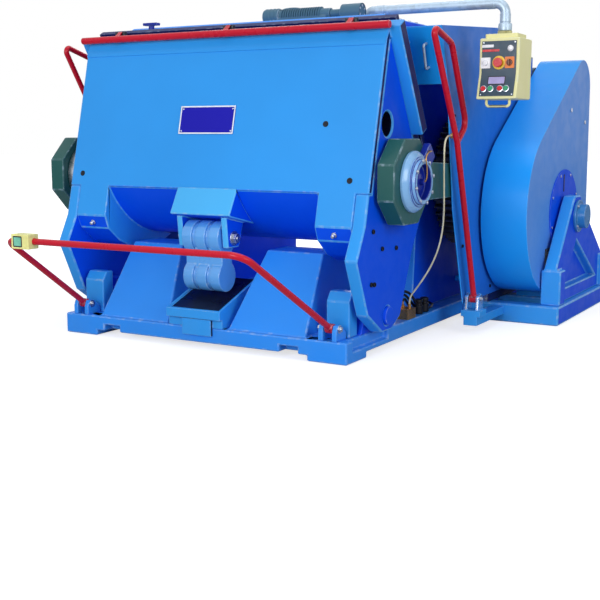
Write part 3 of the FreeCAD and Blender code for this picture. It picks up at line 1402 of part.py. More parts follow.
def sloped_drum(name, x, radius, low, high):
    """Cylinder square to the sloping lower panel, from a depth below its face to a height above."""
    slope = math.degrees(math.atan2(value("box_nose"), value("box_break_z - box_low")))
    z = "box_low + button_row_z"
    y = "%s - (box_break_z - (%s)) * box_nose / (box_break_z - box_low) - panel_wall_thin" % (
        BOX_FRONT, z
    )
    run = "sqrt(box_nose ^ 2 + (box_break_z - box_low) ^ 2)"
    item = doc.addObject("Part::Cylinder", name)
    item.Placement = Placement(Vector(), Rotation(Vector(1, 0, 0), 90 - slope))
    drive(item, Radius=radius, Height="(%s) + (%s)" % (low, high))
    drive(
        item, Placement__Base__x=x,
        Placement__Base__y="%s + (%s) * (box_break_z - box_low) / %s" % (y, low, run),
    )
    drive(item, Placement__Base__z="%s - (%s) * box_nose / %s" % (z, low, run))
    return item


def button_wells(tag):
    """Cutters for the holes that the push buttons slide in."""
    wells = [
        drum(
            tag + "_estop_well", "Y", ("box_x", UPPER_ROW_Z),
            (PANEL_FACE + " - 1", PANEL_FACE + " + button_well"), "estop_radius + button_fit",
        )
    ]
    for name in ROW_BUTTONS:
        wells.append(
            sloped_drum(
                "%s_%s_well" % (tag, name), "box_x + %s_x" % name.split("_")[0],
                "button_radius + button_fit", "button_well", "1",
            )
        )
    return wells


def estop():
    """Mushroom-headed stop button."""
    stem = drum(
        "estop_stem", "Y", ("box_x", UPPER_ROW_Z),
        (PANEL_FACE + " - estop_rise", PANEL_FACE + " + button_root"), "estop_radius",
    )
    head = drum(
        "estop_mushroom", "Y", ("box_x", UPPER_ROW_Z),
        (PANEL_FACE + " - estop_rise - 8", PANEL_FACE + " - estop_rise"), "estop_head",
    )
    return join("estop_solid", [stem, head])


def selector_knob():
    """Round selector with a grip bar, turning on the panel."""
    x = "box_x + selector_offset"
    dial = drum(
        "selector_dial", "Y", (x, UPPER_ROW_Z),
        (PANEL_FACE + " - button_fit - 6", PANEL_FACE + " - button_fit"), "selector_radius",
    )
    grip = block("selector_grip", (x + " - 4", x + " + 4"), (PANEL_FACE + " - 18", PANEL_FACE + " - 6"),
                 (UPPER_ROW_Z + " - selector_radius", UPPER_ROW_Z + " + selector_radius"))
    return join("selector_solid", [dial, grip])


def chase_lock_lever():
    """Winged lever on a stem at the top edge of the bed that clamps the chase."""
    y, middle_z = plane_point("-bed_rise", BED_FRONT + " + bed_wall / 2")
    z = middle_z + " + lock_stem_radius * tan(lean)"
    stem = drum(
        "lock_stem", "Z", ("lock_x", y), (z + " + seat_gap", z + " + lock_height"), "lock_stem_radius"
    )
    wing = prism(
        "lock_wing",
        [
            (y + " - 16", z + " + lock_height"), (y + " - 16", z + " + lock_height - 13"),
            (y + " + 16", z + " + lock_height - 13"), (y + " + 16", z + " + lock_height"),
        ],
        ("lock_x - lock_half", "lock_x + lock_half"),
    )
    return join("lock_solid", [stem, wing])


def build():
    node(base_casting(), "base_casting")
    node(pivot_lugs(), "pivot_lugs")
    node(toe_stops(), "toe_stops")
    node(centre_tray(), "centre_tray")
    node(outrigger_base(), "outrigger_base")
    node(bearing_pedestal(), "bearing_pedestal")
    node(outboard_bearing(), "outboard_bearing")
    node(bed_casting(), "bed_casting")
    node(die_chase(), "die_chase")
    node(shaft_bushes(), "shaft_bushes")
    node(gear_cover(), "gear_cover")
    node(flywheel_guard(), "flywheel_guard")
    node(access_cover(), "access_cover")
    node(guard_screws(), "guard_screws")
    node(motor_body(), "motor_body")
    node(motor_mount(), "motor_mount")
    node(drive_belts(), "drive_belts")
    node(oil_pump(), "oil_pump")
    node(oil_pump_motor(), "oil_pump_motor")
    node(pipe_post(), "pipe_post")
    node(bar_brackets(), "bar_brackets")
    node(lever_brackets(), "lever_brackets")
    node(oil_fittings(), "oil_fittings")
    node(oil_hose(), "oil_hose")
    node(crank_shaft(), "crank_shaft")
    node(crank_gears(), "crank_gears")
    node(pinion_shaft(), "pinion_shaft")
    node(pinions(), "pinions")
    node(clutch_disc(), "clutch_disc")
    node(flywheel(), "flywheel")
    node(motor_pulley(), "motor_pulley")
    node(platen_casting(), "platen_casting")
    node(platen_sides(), "platen_sides")
    node(platen_plate(), "platen_plate")
    node(trunnion_pins(), "trunnion_pins")
    node(centre_boss(), "centre_boss")
    node(name_plate(), "name_plate")
    node(bar_clips(), "bar_clips")
    for side, tag in ((1, "right"), (-1, "left")):
        node(gear_guard(side), "gear_guard_" + tag)
        node(arm(side), tag + "_arm")
        node(arm_cap(side), tag + "_cap")
        node(lever(side), tag + "_lever")
    node(balance_link(), "balance_link")
    node(top_safety_bar(), "top_safety_bar")
    node(front_bar(), "front_bar")
    node(bar_switch_box(), "bar_switch_box")
    node(control_pipe(), "control_pipe")
    node(control_box(), "control_box")
    node(control_panel(), "control_panel")
    node(estop(), "estop")
    node(selector_knob(), "selector_knob")
    for name in ROW_BUTTONS:
        node(
            sloped_drum(
                name, "box_x + %s_x" % name.split("_")[0], "button_radius", "button_root",
                "button_height",
            ),
            name,
        )
    node(chase_lock_lever(), "chase_lock_lever")


build()
doc.recompute()
for item in doc.Objects:
    if "Invalid" in item.State or "Error" in item.State:
        raise RuntimeError("%s failed: %s" % (item.Name, item.State))
for item in nodes:
    if item.Shape.isNull() or not item.Shape.isValid():
        raise RuntimeError(item.Label + " has no valid shape")
os.makedirs("parts", exist_ok=True)
for item in nodes:
    item.Shape.exportStep("parts/%s.step" % item.Label)
    print("%-18s %2d solids" % (item.Label, len(item.Shape.Solids)))
print(len(nodes), "sub-parts")
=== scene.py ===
# %% [markdown]
# # A clamshell die cutting press
# The machine is a cast blue press: a platen that rocks on two feet, a leaning bed behind it, two
# green crank arms at the sides and a sheet-metal guard round the drive on the right.
# The CAD model already has every part in its place, in metres. Blender adds what a solid model
# lacks: rounded edges, paint, metal, plastic, and the small hardware bolted on top.

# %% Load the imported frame
import json
import math

import bmesh
import bpy
from mathutils import Matrix, Vector

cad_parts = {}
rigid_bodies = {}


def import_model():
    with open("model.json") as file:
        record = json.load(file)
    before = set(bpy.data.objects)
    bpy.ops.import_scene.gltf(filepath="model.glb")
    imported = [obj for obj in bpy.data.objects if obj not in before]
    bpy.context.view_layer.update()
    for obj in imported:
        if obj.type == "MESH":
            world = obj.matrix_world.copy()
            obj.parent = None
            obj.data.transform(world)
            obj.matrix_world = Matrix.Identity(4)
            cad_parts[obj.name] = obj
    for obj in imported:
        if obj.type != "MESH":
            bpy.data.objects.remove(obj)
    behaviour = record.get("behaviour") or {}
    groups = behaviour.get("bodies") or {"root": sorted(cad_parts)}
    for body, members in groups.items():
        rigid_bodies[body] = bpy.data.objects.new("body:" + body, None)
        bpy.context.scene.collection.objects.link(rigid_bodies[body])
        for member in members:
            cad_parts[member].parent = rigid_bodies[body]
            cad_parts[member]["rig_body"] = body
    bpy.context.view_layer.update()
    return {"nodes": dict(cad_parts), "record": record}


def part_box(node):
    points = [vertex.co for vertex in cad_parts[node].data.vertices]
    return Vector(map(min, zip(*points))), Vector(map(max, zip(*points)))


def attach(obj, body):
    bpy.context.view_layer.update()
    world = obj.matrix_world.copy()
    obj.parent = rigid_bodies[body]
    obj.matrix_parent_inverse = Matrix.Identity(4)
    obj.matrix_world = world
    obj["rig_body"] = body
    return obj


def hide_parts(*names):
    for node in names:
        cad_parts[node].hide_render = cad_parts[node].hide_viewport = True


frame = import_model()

scene = bpy.context.scene
slot_of = {part["node"]: part["material_slot"] for part in frame["record"]["subparts"]}
BASE_FRONT = 0.98


def at(x, y, z):
    """Point of the press, with y measured back from the front edge of the base."""
    return Vector((x, y - BASE_FRONT, z))


print("parts in the frame:", len(frame["nodes"]))

# %% [markdown]
# The photograph looks at the front right corner from about chest height. The lens and the place of
# the camera came from the vanishing points of the base and the platen, so the view needs no shift.

# %% Camera
CAMERA_PLACE = (2.668, -4.690, 0.950)
CAMERA_DOWN = math.radians(9.18)
CAMERA_TURN = math.radians(29.85)
camera = bpy.data.objects.new("press_camera", bpy.data.cameras.new("press_camera"))
camera.location = CAMERA_PLACE
camera.rotation_euler = (math.pi / 2 - CAMERA_DOWN, 0, CAMERA_TURN)
camera.data.lens = 62.2
camera.data.sensor_width = 36
scene.collection.objects.link(camera)
scene.camera = camera
print("camera at", CAMERA_PLACE)

# %% [markdown]
# A studio for a glossy machine is mostly white walls and one big soft lamp. The lamp stands in
# front, so the front of the platen is bright and the right-hand sides fall into deeper blue.
# The world shows white to the camera and to reflections, but lights the paint with a weaker sky.

# %% Studio light
scene.view_settings.view_transform = "Standard"
world = bpy.data.worlds.new("studio")
world.use_nodes = True
scene.world = world


def seen_directly(tree):
    """Sockets that are 1 for camera, glossy and transmission rays, and for camera rays alone."""
    path = tree.nodes.new("ShaderNodeLightPath")
    both = tree.nodes.new("ShaderNodeMath")
    both.operation = "MAXIMUM"
    tree.links.new(path.outputs["Is Camera Ray"], both.inputs[0])
    tree.links.new(path.outputs["Is Glossy Ray"], both.inputs[1])
    every = tree.nodes.new("ShaderNodeMath")
    every.operation = "MAXIMUM"
    tree.links.new(both.outputs[0], every.inputs[0])
    tree.links.new(path.outputs["Is Transmission Ray"], every.inputs[1])
    return every.outputs[0], path.outputs["Is Camera Ray"]


sky = world.node_tree.nodes["Background"]
sky.inputs["Color"].default_value = (0.86, 0.93, 1.0, 1)
sky.inputs["Strength"].default_value = 0.30
white_wall = world.node_tree.nodes.new("ShaderNodeBackground")
white_wall.inputs["Color"].default_value = (1, 1, 1, 1)
wall_mix = world.node_tree.nodes.new("ShaderNodeMixShader")
world.node_tree.links.new(seen_directly(world.node_tree)[0], wall_mix.inputs[0])
world.node_tree.links.new(sky.outputs[0], wall_mix.inputs[1])
world.node_tree.links.new(white_wall.outputs[0], wall_mix.inputs[2])
world.node_tree.links.new(wall_mix.outputs[0], world.node_tree.nodes["World Output"].inputs[0])


def soft_lamp(name, place, target, power, width):
    """Square studio lamp that faces a point."""
    lamp = bpy.data.objects.new(name, bpy.data.lights.new(name, "AREA"))
    lamp.data.energy = power
    lamp.data.size = width
    lamp.location = place
    lamp.rotation_euler = (Vector(target) - Vector(place)).to_track_quat("-Z", "Y").to_euler()
    scene.collection.objects.link(lamp)


soft_lamp("key_lamp", (0.6, -7.2, 2.4), (0, -0.4, 0.7), 240, 3.2)
soft_lamp("side_lamp", (6.0, -2.6, 2.6), (0.9, 0.4, 0.7), 120, 3.0)
soft_lamp("top_lamp", (0.4, 0.2, 6.0), (0, 0, 0.8), 100, 4.0)
soft_lamp("back_lamp", (-3.0, 6.0, 3.5), (0, 0.4, 0.8), 150, 3.5)
print("lamps:", len(bpy.data.lights))

# %% [markdown]
# The press stands on a pale floor that has no edge in the picture. The floor glows a little for the
# camera, more with the distance, so that it runs into the white wall and still keeps the shadow under
# the press. Other rays see a plain grey floor, so it throws no false light on the castings.

# %% Studio floor
REACH = 30
floor_corners = [(-REACH, -REACH, 0), (REACH, -REACH, 0), (REACH, REACH, 0), (-REACH, REACH, 0)]
floor_mesh = bpy.data.meshes.new("studio_floor")
floor_mesh.from_pydata(floor_corners, [], [(0, 1, 2, 3)])
floor = bpy.data.objects.new("studio_floor", floor_mesh)
floor.location.z = -0.001
scene.collection.objects.link(floor)
floor_paint = bpy.data.materials.new("studio_floor")
floor_paint.use_nodes = True
floor_tree = floor_paint.node_tree
floor_face = floor_tree.nodes["Principled BSDF"]
floor_face.inputs["Base Color"].default_value = (0.56, 0.56, 0.57, 1)
floor_face.inputs["Roughness"].default_value = 0.9
floor_face.inputs["Specular IOR Level"].default_value = 0.1
floor_glow = floor_tree.nodes.new("ShaderNodeEmission")
floor_place = floor_tree.nodes.new("ShaderNodeTexCoord")
from_press = floor_tree.nodes.new("ShaderNodeVectorMath")
from_press.operation = "LENGTH"
whiter = floor_tree.nodes.new("ShaderNodeMapRange")
for socket, value in (("From Min", 1.6), ("From Max", 4.2), ("To Min", 0.70), ("To Max", 1.0)):
    whiter.inputs[socket].default_value = value
floor_tree.links.new(floor_place.outputs["Object"], from_press.inputs[0])
floor_tree.links.new(from_press.outputs["Value"], whiter.inputs["Value"])
floor_tree.links.new(whiter.outputs[0], floor_glow.inputs["Strength"])
floor_sum = floor_tree.nodes.new("ShaderNodeAddShader")
floor_tree.links.new(floor_face.outputs[0], floor_sum.inputs[0])
floor_tree.links.new(floor_glow.outputs[0], floor_sum.inputs[1])
floor_mix = floor_tree.nodes.new("ShaderNodeMixShader")
floor_tree.links.new(seen_directly(floor_tree)[1], floor_mix.inputs[0])
floor_tree.links.new(floor_face.outputs[0], floor_mix.inputs[1])
floor_tree.links.new(floor_sum.outputs[0], floor_mix.inputs[2])
floor_tree.links.new(floor_mix.outputs[0], floor_tree.nodes["Material Output"].inputs["Surface"])
floor_mesh.materials.append(floor_paint)
print("floor reaches", REACH, "m each way")

# %% [markdown]
# Every finish on the press is a small tree of noise. Paint is never one flat colour: it has a slow
# drift of tone, a fine orange-peel skin, dust low down and worn edges. One recipe class keeps the
# node wiring short, so that each finish below reads as a list of what the surface has.


# %% Recipe for a finish
def srgb(red, green, blue):
    """Linear colour from the usual 0 to 255 values."""
    share = [v / 255 for v in (red, green, blue)]
    return tuple(v / 12.92 if v < 0.04045 else ((v + 0.055) / 1.055) ** 2.4 for v in share)


def shade(colour, factor):
    """Lighter or darker colour."""
    return tuple(min(1.0, v * factor) for v in colour)


class Recipe:
    """A material under construction: its shader, its coordinates and short ways to add nodes."""

    def __init__(self, name, roughness=0.4, metallic=0.0):
        self.material = bpy.data.materials.new(name)
        self.material.use_nodes = True
        self.tree = self.material.node_tree
        self.shader = self.tree.nodes["Principled BSDF"]
        self.shader.inputs["Roughness"].default_value = roughness
        self.shader.inputs["Metallic"].default_value = metallic
        self.coords = self.add("ShaderNodeTexCoord").outputs["Object"]

    def add(self, kind, links=(), **values):
        """Node with settings, and with a source or a constant on its sockets."""
        made = self.tree.nodes.new(kind)
        for key, value in values.items():
            setattr(made, key, value)
        for socket, source in dict(links).items():
            if isinstance(source, bpy.types.NodeSocket):
                self.tree.links.new(source, made.inputs[socket])
            else:
                made.inputs[socket].default_value = source
        return made

    def noise(self, scale, detail=3.0, stretch=None):
        """Soft noise, drawn out along an axis where stretch is given."""
        place = self.coords
        if stretch:
            place = self.add("ShaderNodeMapping", {"Vector": place, "Scale": stretch}).outputs[0]
        links = {"Vector": place, "Scale": scale, "Detail": detail, "Roughness": 0.55}
        return self.add("ShaderNodeTexNoise", links).outputs["Fac"]

    def span(self, source, low, high, start=0.35, stop=0.65):
        """Values from start to stop, mapped to low to high."""
        links = {"Value": source, "From Min": start, "From Max": stop, "To Min": low, "To Max": high}
        return self.add("ShaderNodeMapRange", links).outputs[0]

    def times(self, first, second):
        return self.add("ShaderNodeMath", {0: first, 1: second}, operation="MULTIPLY").outputs[0]

    def blend(self, share, first, second):
        """Mix of two colours by a share."""
        made = self.add("ShaderNodeMix", data_type="RGBA")
        for socket, source in ((0, share), (6, first), (7, second)):
            if isinstance(source, bpy.types.NodeSocket):
                self.tree.links.new(source, made.inputs[socket])
            else:
                made.inputs[socket].default_value = source if socket == 0 else (*source, 1)
        return made.outputs[2]

    def low_dust(self, top):
        """Share that grows towards the floor, broken up by noise."""
        height = self.add("ShaderNodeSeparateXYZ", {0: self.coords}).outputs["Z"]
        return self.times(self.span(height, 1.0, 0.0, 0.0, top), self.span(self.noise(7, 5), 0.1, 1.0))

    def colour(self, source):
        self.tree.links.new(source, self.shader.inputs["Base Color"])

    def rough(self, source):
        self.tree.links.new(source, self.shader.inputs["Roughness"])

    def bump(self, *layers):
        """Stack of (height, strength, depth) layers on the normal."""
        normal = None
        for height, strength, depth in layers:
            links = {"Height": height, "Strength": strength, "Distance": depth}
            if normal:
                links["Normal"] = normal
            normal = self.add("ShaderNodeBump", links).outputs[0]
        self.tree.links.new(normal, self.shader.inputs["Normal"])


print("recipe ready")

# %% [markdown]
# Machine enamel goes on thick over cast iron. The casting keeps a slow ripple under it, the paint
# dries with a fine peel, and corners that hands and chains knock go pale. Sheet-metal covers have
# the same paint, flatter and more satin. The same recipe makes both, with different strengths.


# %% Enamel finishes
worn_edge = {}


def enamel(name, colour, rough=0.36, ripple=0.35, coat=0.08, wear=0.38, gloss=0.24):
    """Paint and, beside it, the same paint as it looks along knocked edges."""
    for kind in ("", "_edge"):
        made = Recipe(name + kind)
        drift = made.blend(made.span(made.noise(1.3), 0, 1), shade(colour, 0.95), shade(colour, 1.03))
        dusty = made.blend(made.times(made.low_dust(0.30), 0.10), drift, srgb(110, 136, 164))
        if kind:
            chips = made.span(made.noise(34, 6), 0.06, wear, 0.50, 0.66)
            dusty = made.blend(chips, dusty, srgb(186, 206, 226))
        made.colour(dusty)
        made.rough(made.span(made.noise(14, 4), rough - 0.05, rough + 0.10))
        made.bump((made.noise(5, 2), ripple * 0.2, 0.008), (made.noise(230, 2), 0.08, 0.0005))
        made.shader.inputs["Specular IOR Level"].default_value = gloss
        made.shader.inputs["Coat Weight"].default_value = coat
        made.shader.inputs["Coat Roughness"].default_value = 0.12
        if kind:
            worn_edge[name] = made.material
        else:
            plain = made.material
    return plain


finish = {
    "enamel_light": enamel("light_blue_enamel", srgb(46, 154, 238)),
    "enamel_blue": enamel("blue_enamel", srgb(42, 144, 246)),
    "guard_enamel": enamel("periwinkle_sheet", srgb(84, 148, 234), rough=0.40, ripple=0.15, coat=0.04,
                           wear=0.30, gloss=0.16),
    "cover_enamel": enamel("bright_sheet", srgb(26, 160, 252), rough=0.34, ripple=0.12, coat=0.10,
                           wear=0.30),
    "arm_green": enamel("arm_green_enamel", srgb(30, 86, 84)),
    "cap_navy": enamel("cap_navy_enamel", srgb(14, 38, 150), rough=0.34),
    "safety_red": enamel("safety_red_enamel", srgb(196, 16, 44), rough=0.28, ripple=0.1),
    "pump_teal": enamel("pump_enamel", srgb(74, 112, 134), rough=0.42, ripple=0.5),
    "cream": enamel("cream_powder_coat", srgb(236, 232, 172), rough=0.42, ripple=0.1, coat=0.05,
                    wear=0.3),
    "plate_blue": enamel("plate_ink", srgb(16, 10, 170), rough=0.45, ripple=0.05, coat=0.0, wear=0.0),
}
# Faces that look left or right, and some undersides, take this deeper blue as painted shade.
shaded_side_blue = enamel("shaded_side_enamel", srgb(0, 82, 236), rough=0.46, coat=0.02, gloss=0.12)
boss_pale = enamel("boss_pale_enamel", srgb(76, 180, 244), rough=0.34)
# The side faces of the gear guards take this deeper blue as painted shade; their fronts keep the bright
# sheet.
guard_side_shade = enamel("shaded_guard_sheet", srgb(36, 116, 216), rough=0.40, ripple=0.15, coat=0.05,
                    wear=0.30, gloss=0.14)
# Navy: partly the die chase's own paint and partly painted shade; it also paints shade on the rim ends, the
# slot and the skirt.
navy_chase_and_shade = enamel("navy_chase_and_shade_enamel", srgb(10, 22, 88), rough=0.44, coat=0.03)
link_pale = enamel("link_pale_enamel", srgb(88, 164, 236), rough=0.18, ripple=0.25, coat=0.6, wear=0.5,
                   gloss=0.5)
flange_pale = enamel("flange_pale_enamel", srgb(128, 180, 230), rough=0.24, ripple=0.15, coat=0.4,
                     wear=0.4, gloss=0.5)
bearing_blue = enamel("bearing_blue_enamel", srgb(48, 124, 190), rough=0.28)
# Near-black paint: the darker floor of the tray, and painted shade on the wall and the disc of the web
# hole.
dark_tray_and_hole_shade = enamel("dark_tray_floor_and_hole_shade", srgb(8, 10, 40), rough=0.30, ripple=0.6)
print("enamels:", len(worn_edge))

# %% [markdown]
# Bare metal on the press is of five kinds: ground steel with fine lines, rough grey iron, bronze in
# the bearings, pipe with a zinc skin, and screws with a skin of black oxide. Stretched noise gives the
# grinding lines, and a Voronoi pattern gives the zinc its crystals.


# %% Metal finishes
def ground_metal(name, colour, rough, stretch, lines=0.03):
    """Turned or ground metal with fine lines and faint stains."""
    made = Recipe(name, rough, 1.0)
    grain = made.noise(60, 3, stretch)
    stain = made.span(made.noise(9, 5), 0.0, 0.5, 0.45, 0.75)
    made.colour(made.blend(stain, colour, shade(colour, 0.72)))
    made.rough(made.span(grain, rough - 0.08, rough + 0.14))
    made.bump((grain, lines, 0.0004))
    return made.material


def cast_metal(name, colour, rough):
    """Rough dark metal with a grain."""
    made = Recipe(name, rough, 0.75)
    made.colour(made.blend(made.span(made.noise(22, 6), 0, 1), shade(colour, 0.75), shade(colour, 1.12)))
    made.rough(made.span(made.noise(35, 4), rough - 0.08, rough + 0.12))
    made.bump((made.noise(160, 4), 0.30, 0.0012), (made.noise(18, 2), 0.10, 0.004))
    return made.material


def zinc_pipe(name, colour):
    """Zinc skin with flat crystals."""
    made = Recipe(name, 0.46, 0.45)
    flakes = made.add("ShaderNodeTexVoronoi", {"Vector": made.coords, "Scale": 55.0}).outputs["Color"]
    flake = made.add("ShaderNodeSeparateColor", {0: flakes}).outputs[0]
    made.colour(made.blend(flake, shade(colour, 0.86), shade(colour, 1.05)))
    made.rough(made.span(flake, 0.38, 0.56, 0.0, 1.0))
    made.bump((made.noise(120, 3), 0.06, 0.0005))
    return made.material


finish["steel"] = ground_metal("ground_steel", srgb(196, 202, 212), 0.26, (1, 12, 12))
finish["bare_iron"] = cast_metal("grey_iron", srgb(104, 108, 116), 0.45)
finish["bronze"] = ground_metal("bearing_bronze", srgb(186, 142, 84), 0.32, (1, 8, 8))
finish["galvanised"] = zinc_pipe("zinc_pipe", srgb(178, 198, 216))
black_oxide = cast_metal("black_oxide_screw", srgb(34, 36, 44), 0.38)
print("finishes so far:", len(finish))

# %% [markdown]
# The small plastics: black nylon clips, rubber belts, glossy caps on the buttons, the matt film of
# the control panel and the pale oil tube. Moulded plastic shows a fine grain and slightly uneven
# gloss, which is enough at this size.


# %% Plastic and rubber finishes
def moulded(name, colour, rough, grain=220, depth=0.12):
    """Plastic or rubber out of a mould."""
    made = Recipe(name, rough)
    made.colour(made.blend(made.span(made.noise(30, 4), 0, 1), shade(colour, 0.90), shade(colour, 1.08)))
    made.rough(made.span(made.noise(60, 3), rough - 0.05, rough + 0.10))
    made.bump((made.noise(grain, 2), depth, 0.0004))
    return made.material


finish["belt_rubber"] = moulded("belt_rubber", srgb(28, 28, 30), 0.75)
finish["cream_plastic"] = moulded("cream_plastic", srgb(236, 232, 150), 0.40)
finish["panel_slate"] = moulded("panel_film", srgb(28, 58, 78), 0.38)
finish["black_clip"] = moulded("black_nylon", srgb(26, 28, 38), 0.42)
finish["button_red"] = moulded("red_cap", srgb(206, 30, 44), 0.22, 90, 0.04)
finish["button_green"] = moulded("green_cap", srgb(40, 150, 104), 0.22, 90, 0.04)
finish["knob_brown"] = moulded("brown_knob", srgb(104, 48, 24), 0.28, 90, 0.04)
finish["tube_cream"] = moulded("oil_tube", srgb(226, 220, 186), 0.35, 300, 0.06)
yellow_ring = moulded("yellow_ring", srgb(240, 196, 40), 0.32)
orange_base = moulded("orange_base", srgb(232, 120, 28), 0.34)
white_lens = moulded("white_lens", srgb(240, 240, 244), 0.20, 60, 0.03)
lavender_glass = moulded("display_glass", srgb(176, 168, 216), 0.14, 40, 0.02)
key_green = moulded("green_key", srgb(120, 196, 170), 0.25, 90, 0.04)
label_white = moulded("white_border", srgb(238, 240, 246), 0.35)
print("slots without a finish:", sorted(set(slot_of.values()) - set(finish)))

# %% [markdown]
# The thin oil tube drops from a fitting on the gear guard to the manifold near the floor. A NURBS
# curve along the route's points hangs as a nylon tube does, without kinks, and keeps its true length
# of 0.87 m.

# %% Oil tube
ROUTE = [
    (0.916, 0.700, 0.936), (0.916, 0.668, 0.936), (0.916, 0.640, 0.922), (0.917, 0.624, 0.892),
    (0.918, 0.619, 0.845), (0.919, 0.620, 0.765), (0.918, 0.628, 0.680), (0.914, 0.642, 0.590),
    (0.902, 0.657, 0.505), (0.878, 0.670, 0.420), (0.840, 0.678, 0.340), (0.796, 0.680, 0.272),
    (0.764, 0.676, 0.226), (0.743, 0.667, 0.196), (0.743, 0.667, 0.164),
]


def finish_and_slot(look):
    """Material and slot: those of a slot's name, or the pair that was given."""
    return (finish[look], look) if isinstance(look, str) else look


def line_curve(name, points, radius, smooth, look, body):
    """Round tube along points, carried by a body: a smooth NURBS line, or straight runs."""
    material, slot = finish_and_slot(look)
    data = bpy.data.curves.new(name, "CURVE")
    data.dimensions = "3D"
    data.bevel_depth = radius
    data.bevel_resolution = 4
    data.use_fill_caps = True
    spline = data.splines.new("NURBS" if smooth else "POLY")
    spline.points.add(len(points) - 1)
    for target, source in zip(spline.points, points):
        target.co = (*source, 1)
    if smooth:
        spline.order_u = 3
        spline.use_endpoint_u = True
        spline.resolution_u = 10
    data.materials.append(material)
    made = bpy.data.objects.new(name, data)
    scene.collection.objects.link(made)
    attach(made, body)
    return made


oil_tube = line_curve("oil_tube", [at(*p) for p in ROUTE], 0.004, True, "tube_cream", "frame")
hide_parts("oil_hose")
print("oil tube points:", len(ROUTE))

# %% [markdown]
# A CAD edge is perfectly sharp and catches no light, so nothing gives a model away faster. Each part
# is copied, its triangles are merged back into clean faces, and a Bevel modifier rounds its edges.
# On the control box only the long edges are rounded, so that its button wells stay true. The front of
# the bar's switch box is set back a little, to leave room for the key that is stuck on it.


# %% Round off and paint a CAD part
EDGE_ANGLE = math.radians(28)
FLAT_ANGLE = math.radians(0.6)
SAME_POINT = 0.00002
LONG_EDGES = {"control_box": 0.020}
SET_BACK = {"bar_switch_box": 0.0014}
to_round = []


def rounded(made, width, edge_number=-1, limit="ANGLE"):
    """Note a piece for the rounding at the end; edge_number is the material of its edges."""
    for face in made.data.polygons:
        face.use_smooth = True
    to_round.append((made, width, edge_number, limit))


def dressed(node, materials, width, pick):
    """Rounded copy of a CAD part. pick(face) gives the number of a face's material."""
    source = frame["nodes"][node]
    mesh = source.data.copy()
    mesh.materials.clear()
    for material in [*materials, worn_edge.get(materials[0].name, materials[0])]:
        mesh.materials.append(material)
    shape = bmesh.new()
    shape.from_mesh(mesh)
    bmesh.ops.remove_doubles(shape, verts=shape.verts, dist=SAME_POINT)
    bmesh.ops.dissolve_limit(shape, angle_limit=FLAT_ANGLE, verts=shape.verts, edges=shape.edges)
    shape.normal_update()
    for face in shape.faces:
        face.material_index = pick(face) if pick else 0
    if node in SET_BACK:
        front = min(v.co.y for v in shape.verts)
        for vert in shape.verts:
            vert.co.y = max(vert.co.y, front + SET_BACK[node])
    if node in LONG_EDGES:
        weight = shape.edges.layers.float.new("bevel_weight_edge")
        for edge in shape.edges:
            edge[weight] = float(edge.calc_length() > LONG_EDGES[node])
            edge.smooth = bool(edge[weight]) or edge.calc_face_angle(0.0) < EDGE_ANGLE
    shape.to_mesh(mesh)
    shape.free()
    made = bpy.data.objects.new(node + "_dressed", mesh)
    scene.collection.objects.link(made)
    rounded(made, width, len(materials), "WEIGHT" if node in LONG_EDGES else "ANGLE")
    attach(made, source["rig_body"])
    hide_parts(node)


print("parts to dress:", len(frame["nodes"]))

# %% [markdown]
# Many castings have more than one paint. Faces that look to the side, the sides and underside of the
# boss and the rolled-under faces below the panel are a deeper blue, which is painted shade. A tray has
# a darker floor, a chase is navy, partly its own paint and partly painted shade, and the rim ends and
# the wall of the web hole are painted dark as shade. A small function per part looks at where a face
# is and which way it looks, and gives the number of its paint. The parts keep their shape, and no seam
# has to be drawn.

# %% Which paint a face gets
ACROSS = 0.7
HALFWAY = 0.5
PIN = (0.330, 0.745)
CAP_CORE = 0.070
CAP_FLANGE = (0.080, 0.110)
WEB_HOLE = (0.281, 0.985)
WEB_HOLE_REACH = 0.056
RIM_X = 0.795
ROLL_TOP = 0.70
ROLL_TILT = 0.25
TRAY_HALF = 0.136
LIP_FRONT = (-0.02, 0.175)
LIP_RISE = 0.115 / 0.32
LIP_SKIN = 0.005
LIP_BAND = 0.035
FOOT_TOP = 0.116
COVER_FRONT = 0.586


def from_axis(face, axis):
    """Distances of a face's corners from an axis along X."""
    return [math.hypot(v.co.y + BASE_FRONT - axis[0], v.co.z - axis[1]) for v in face.verts]


def sideways(face):
    """1 for a face that looks left or right."""
    return int(abs(face.normal.x) > ACROSS)


def side_plate(face):
    """1 for a face that looks left or right, in the deeper blue of painted shade; 2 for the wall of the web
    hole, painted dark as shade.
    """
    return 2 if max(from_axis(face, WEB_HOLE)) < WEB_HOLE_REACH else sideways(face)


def platen_face(face):
    """1 for the rolled-under faces below the front panel, in the deeper blue of painted shade; 2 for the
    ends of the side rims, painted navy as shade.
    """
    if min(abs(v.co.x) for v in face.verts) > RIM_X:
        return 2 if face.normal.y > -HALFWAY else 0
    return int(face.calc_center_median().z < ROLL_TOP and face.normal.z < -ROLL_TILT)


def boss_cheek(face):
    """1 for the sides and the underside of the boss, which take the deeper blue of painted shade."""
    return int(abs(face.normal.x) > ACROSS or face.normal.z < -HALFWAY)


def tray_floor(face):
    """1 for what lies below the tray's lip, which rises towards the back."""
    centre = face.calc_center_median()
    lip = LIP_FRONT[1] + (centre.y + BASE_FRONT - LIP_FRONT[0]) * LIP_RISE
    inner = abs(centre.x) < TRAY_HALF and centre.z < lip - LIP_SKIN and face.normal.y > -HALFWAY
    wall = abs(face.normal.x) > ACROSS or centre.z > lip - LIP_BAND
    return int(inner and (face.normal.z > HALFWAY or wall))


def cap_flange(face):
    """1 for the turned flange between the core and the rim of an arm cap."""
    spread = from_axis(face, PIN)
    return int(min(spread) > CAP_CORE and CAP_FLANGE[0] < max(spread) < CAP_FLANGE[1])


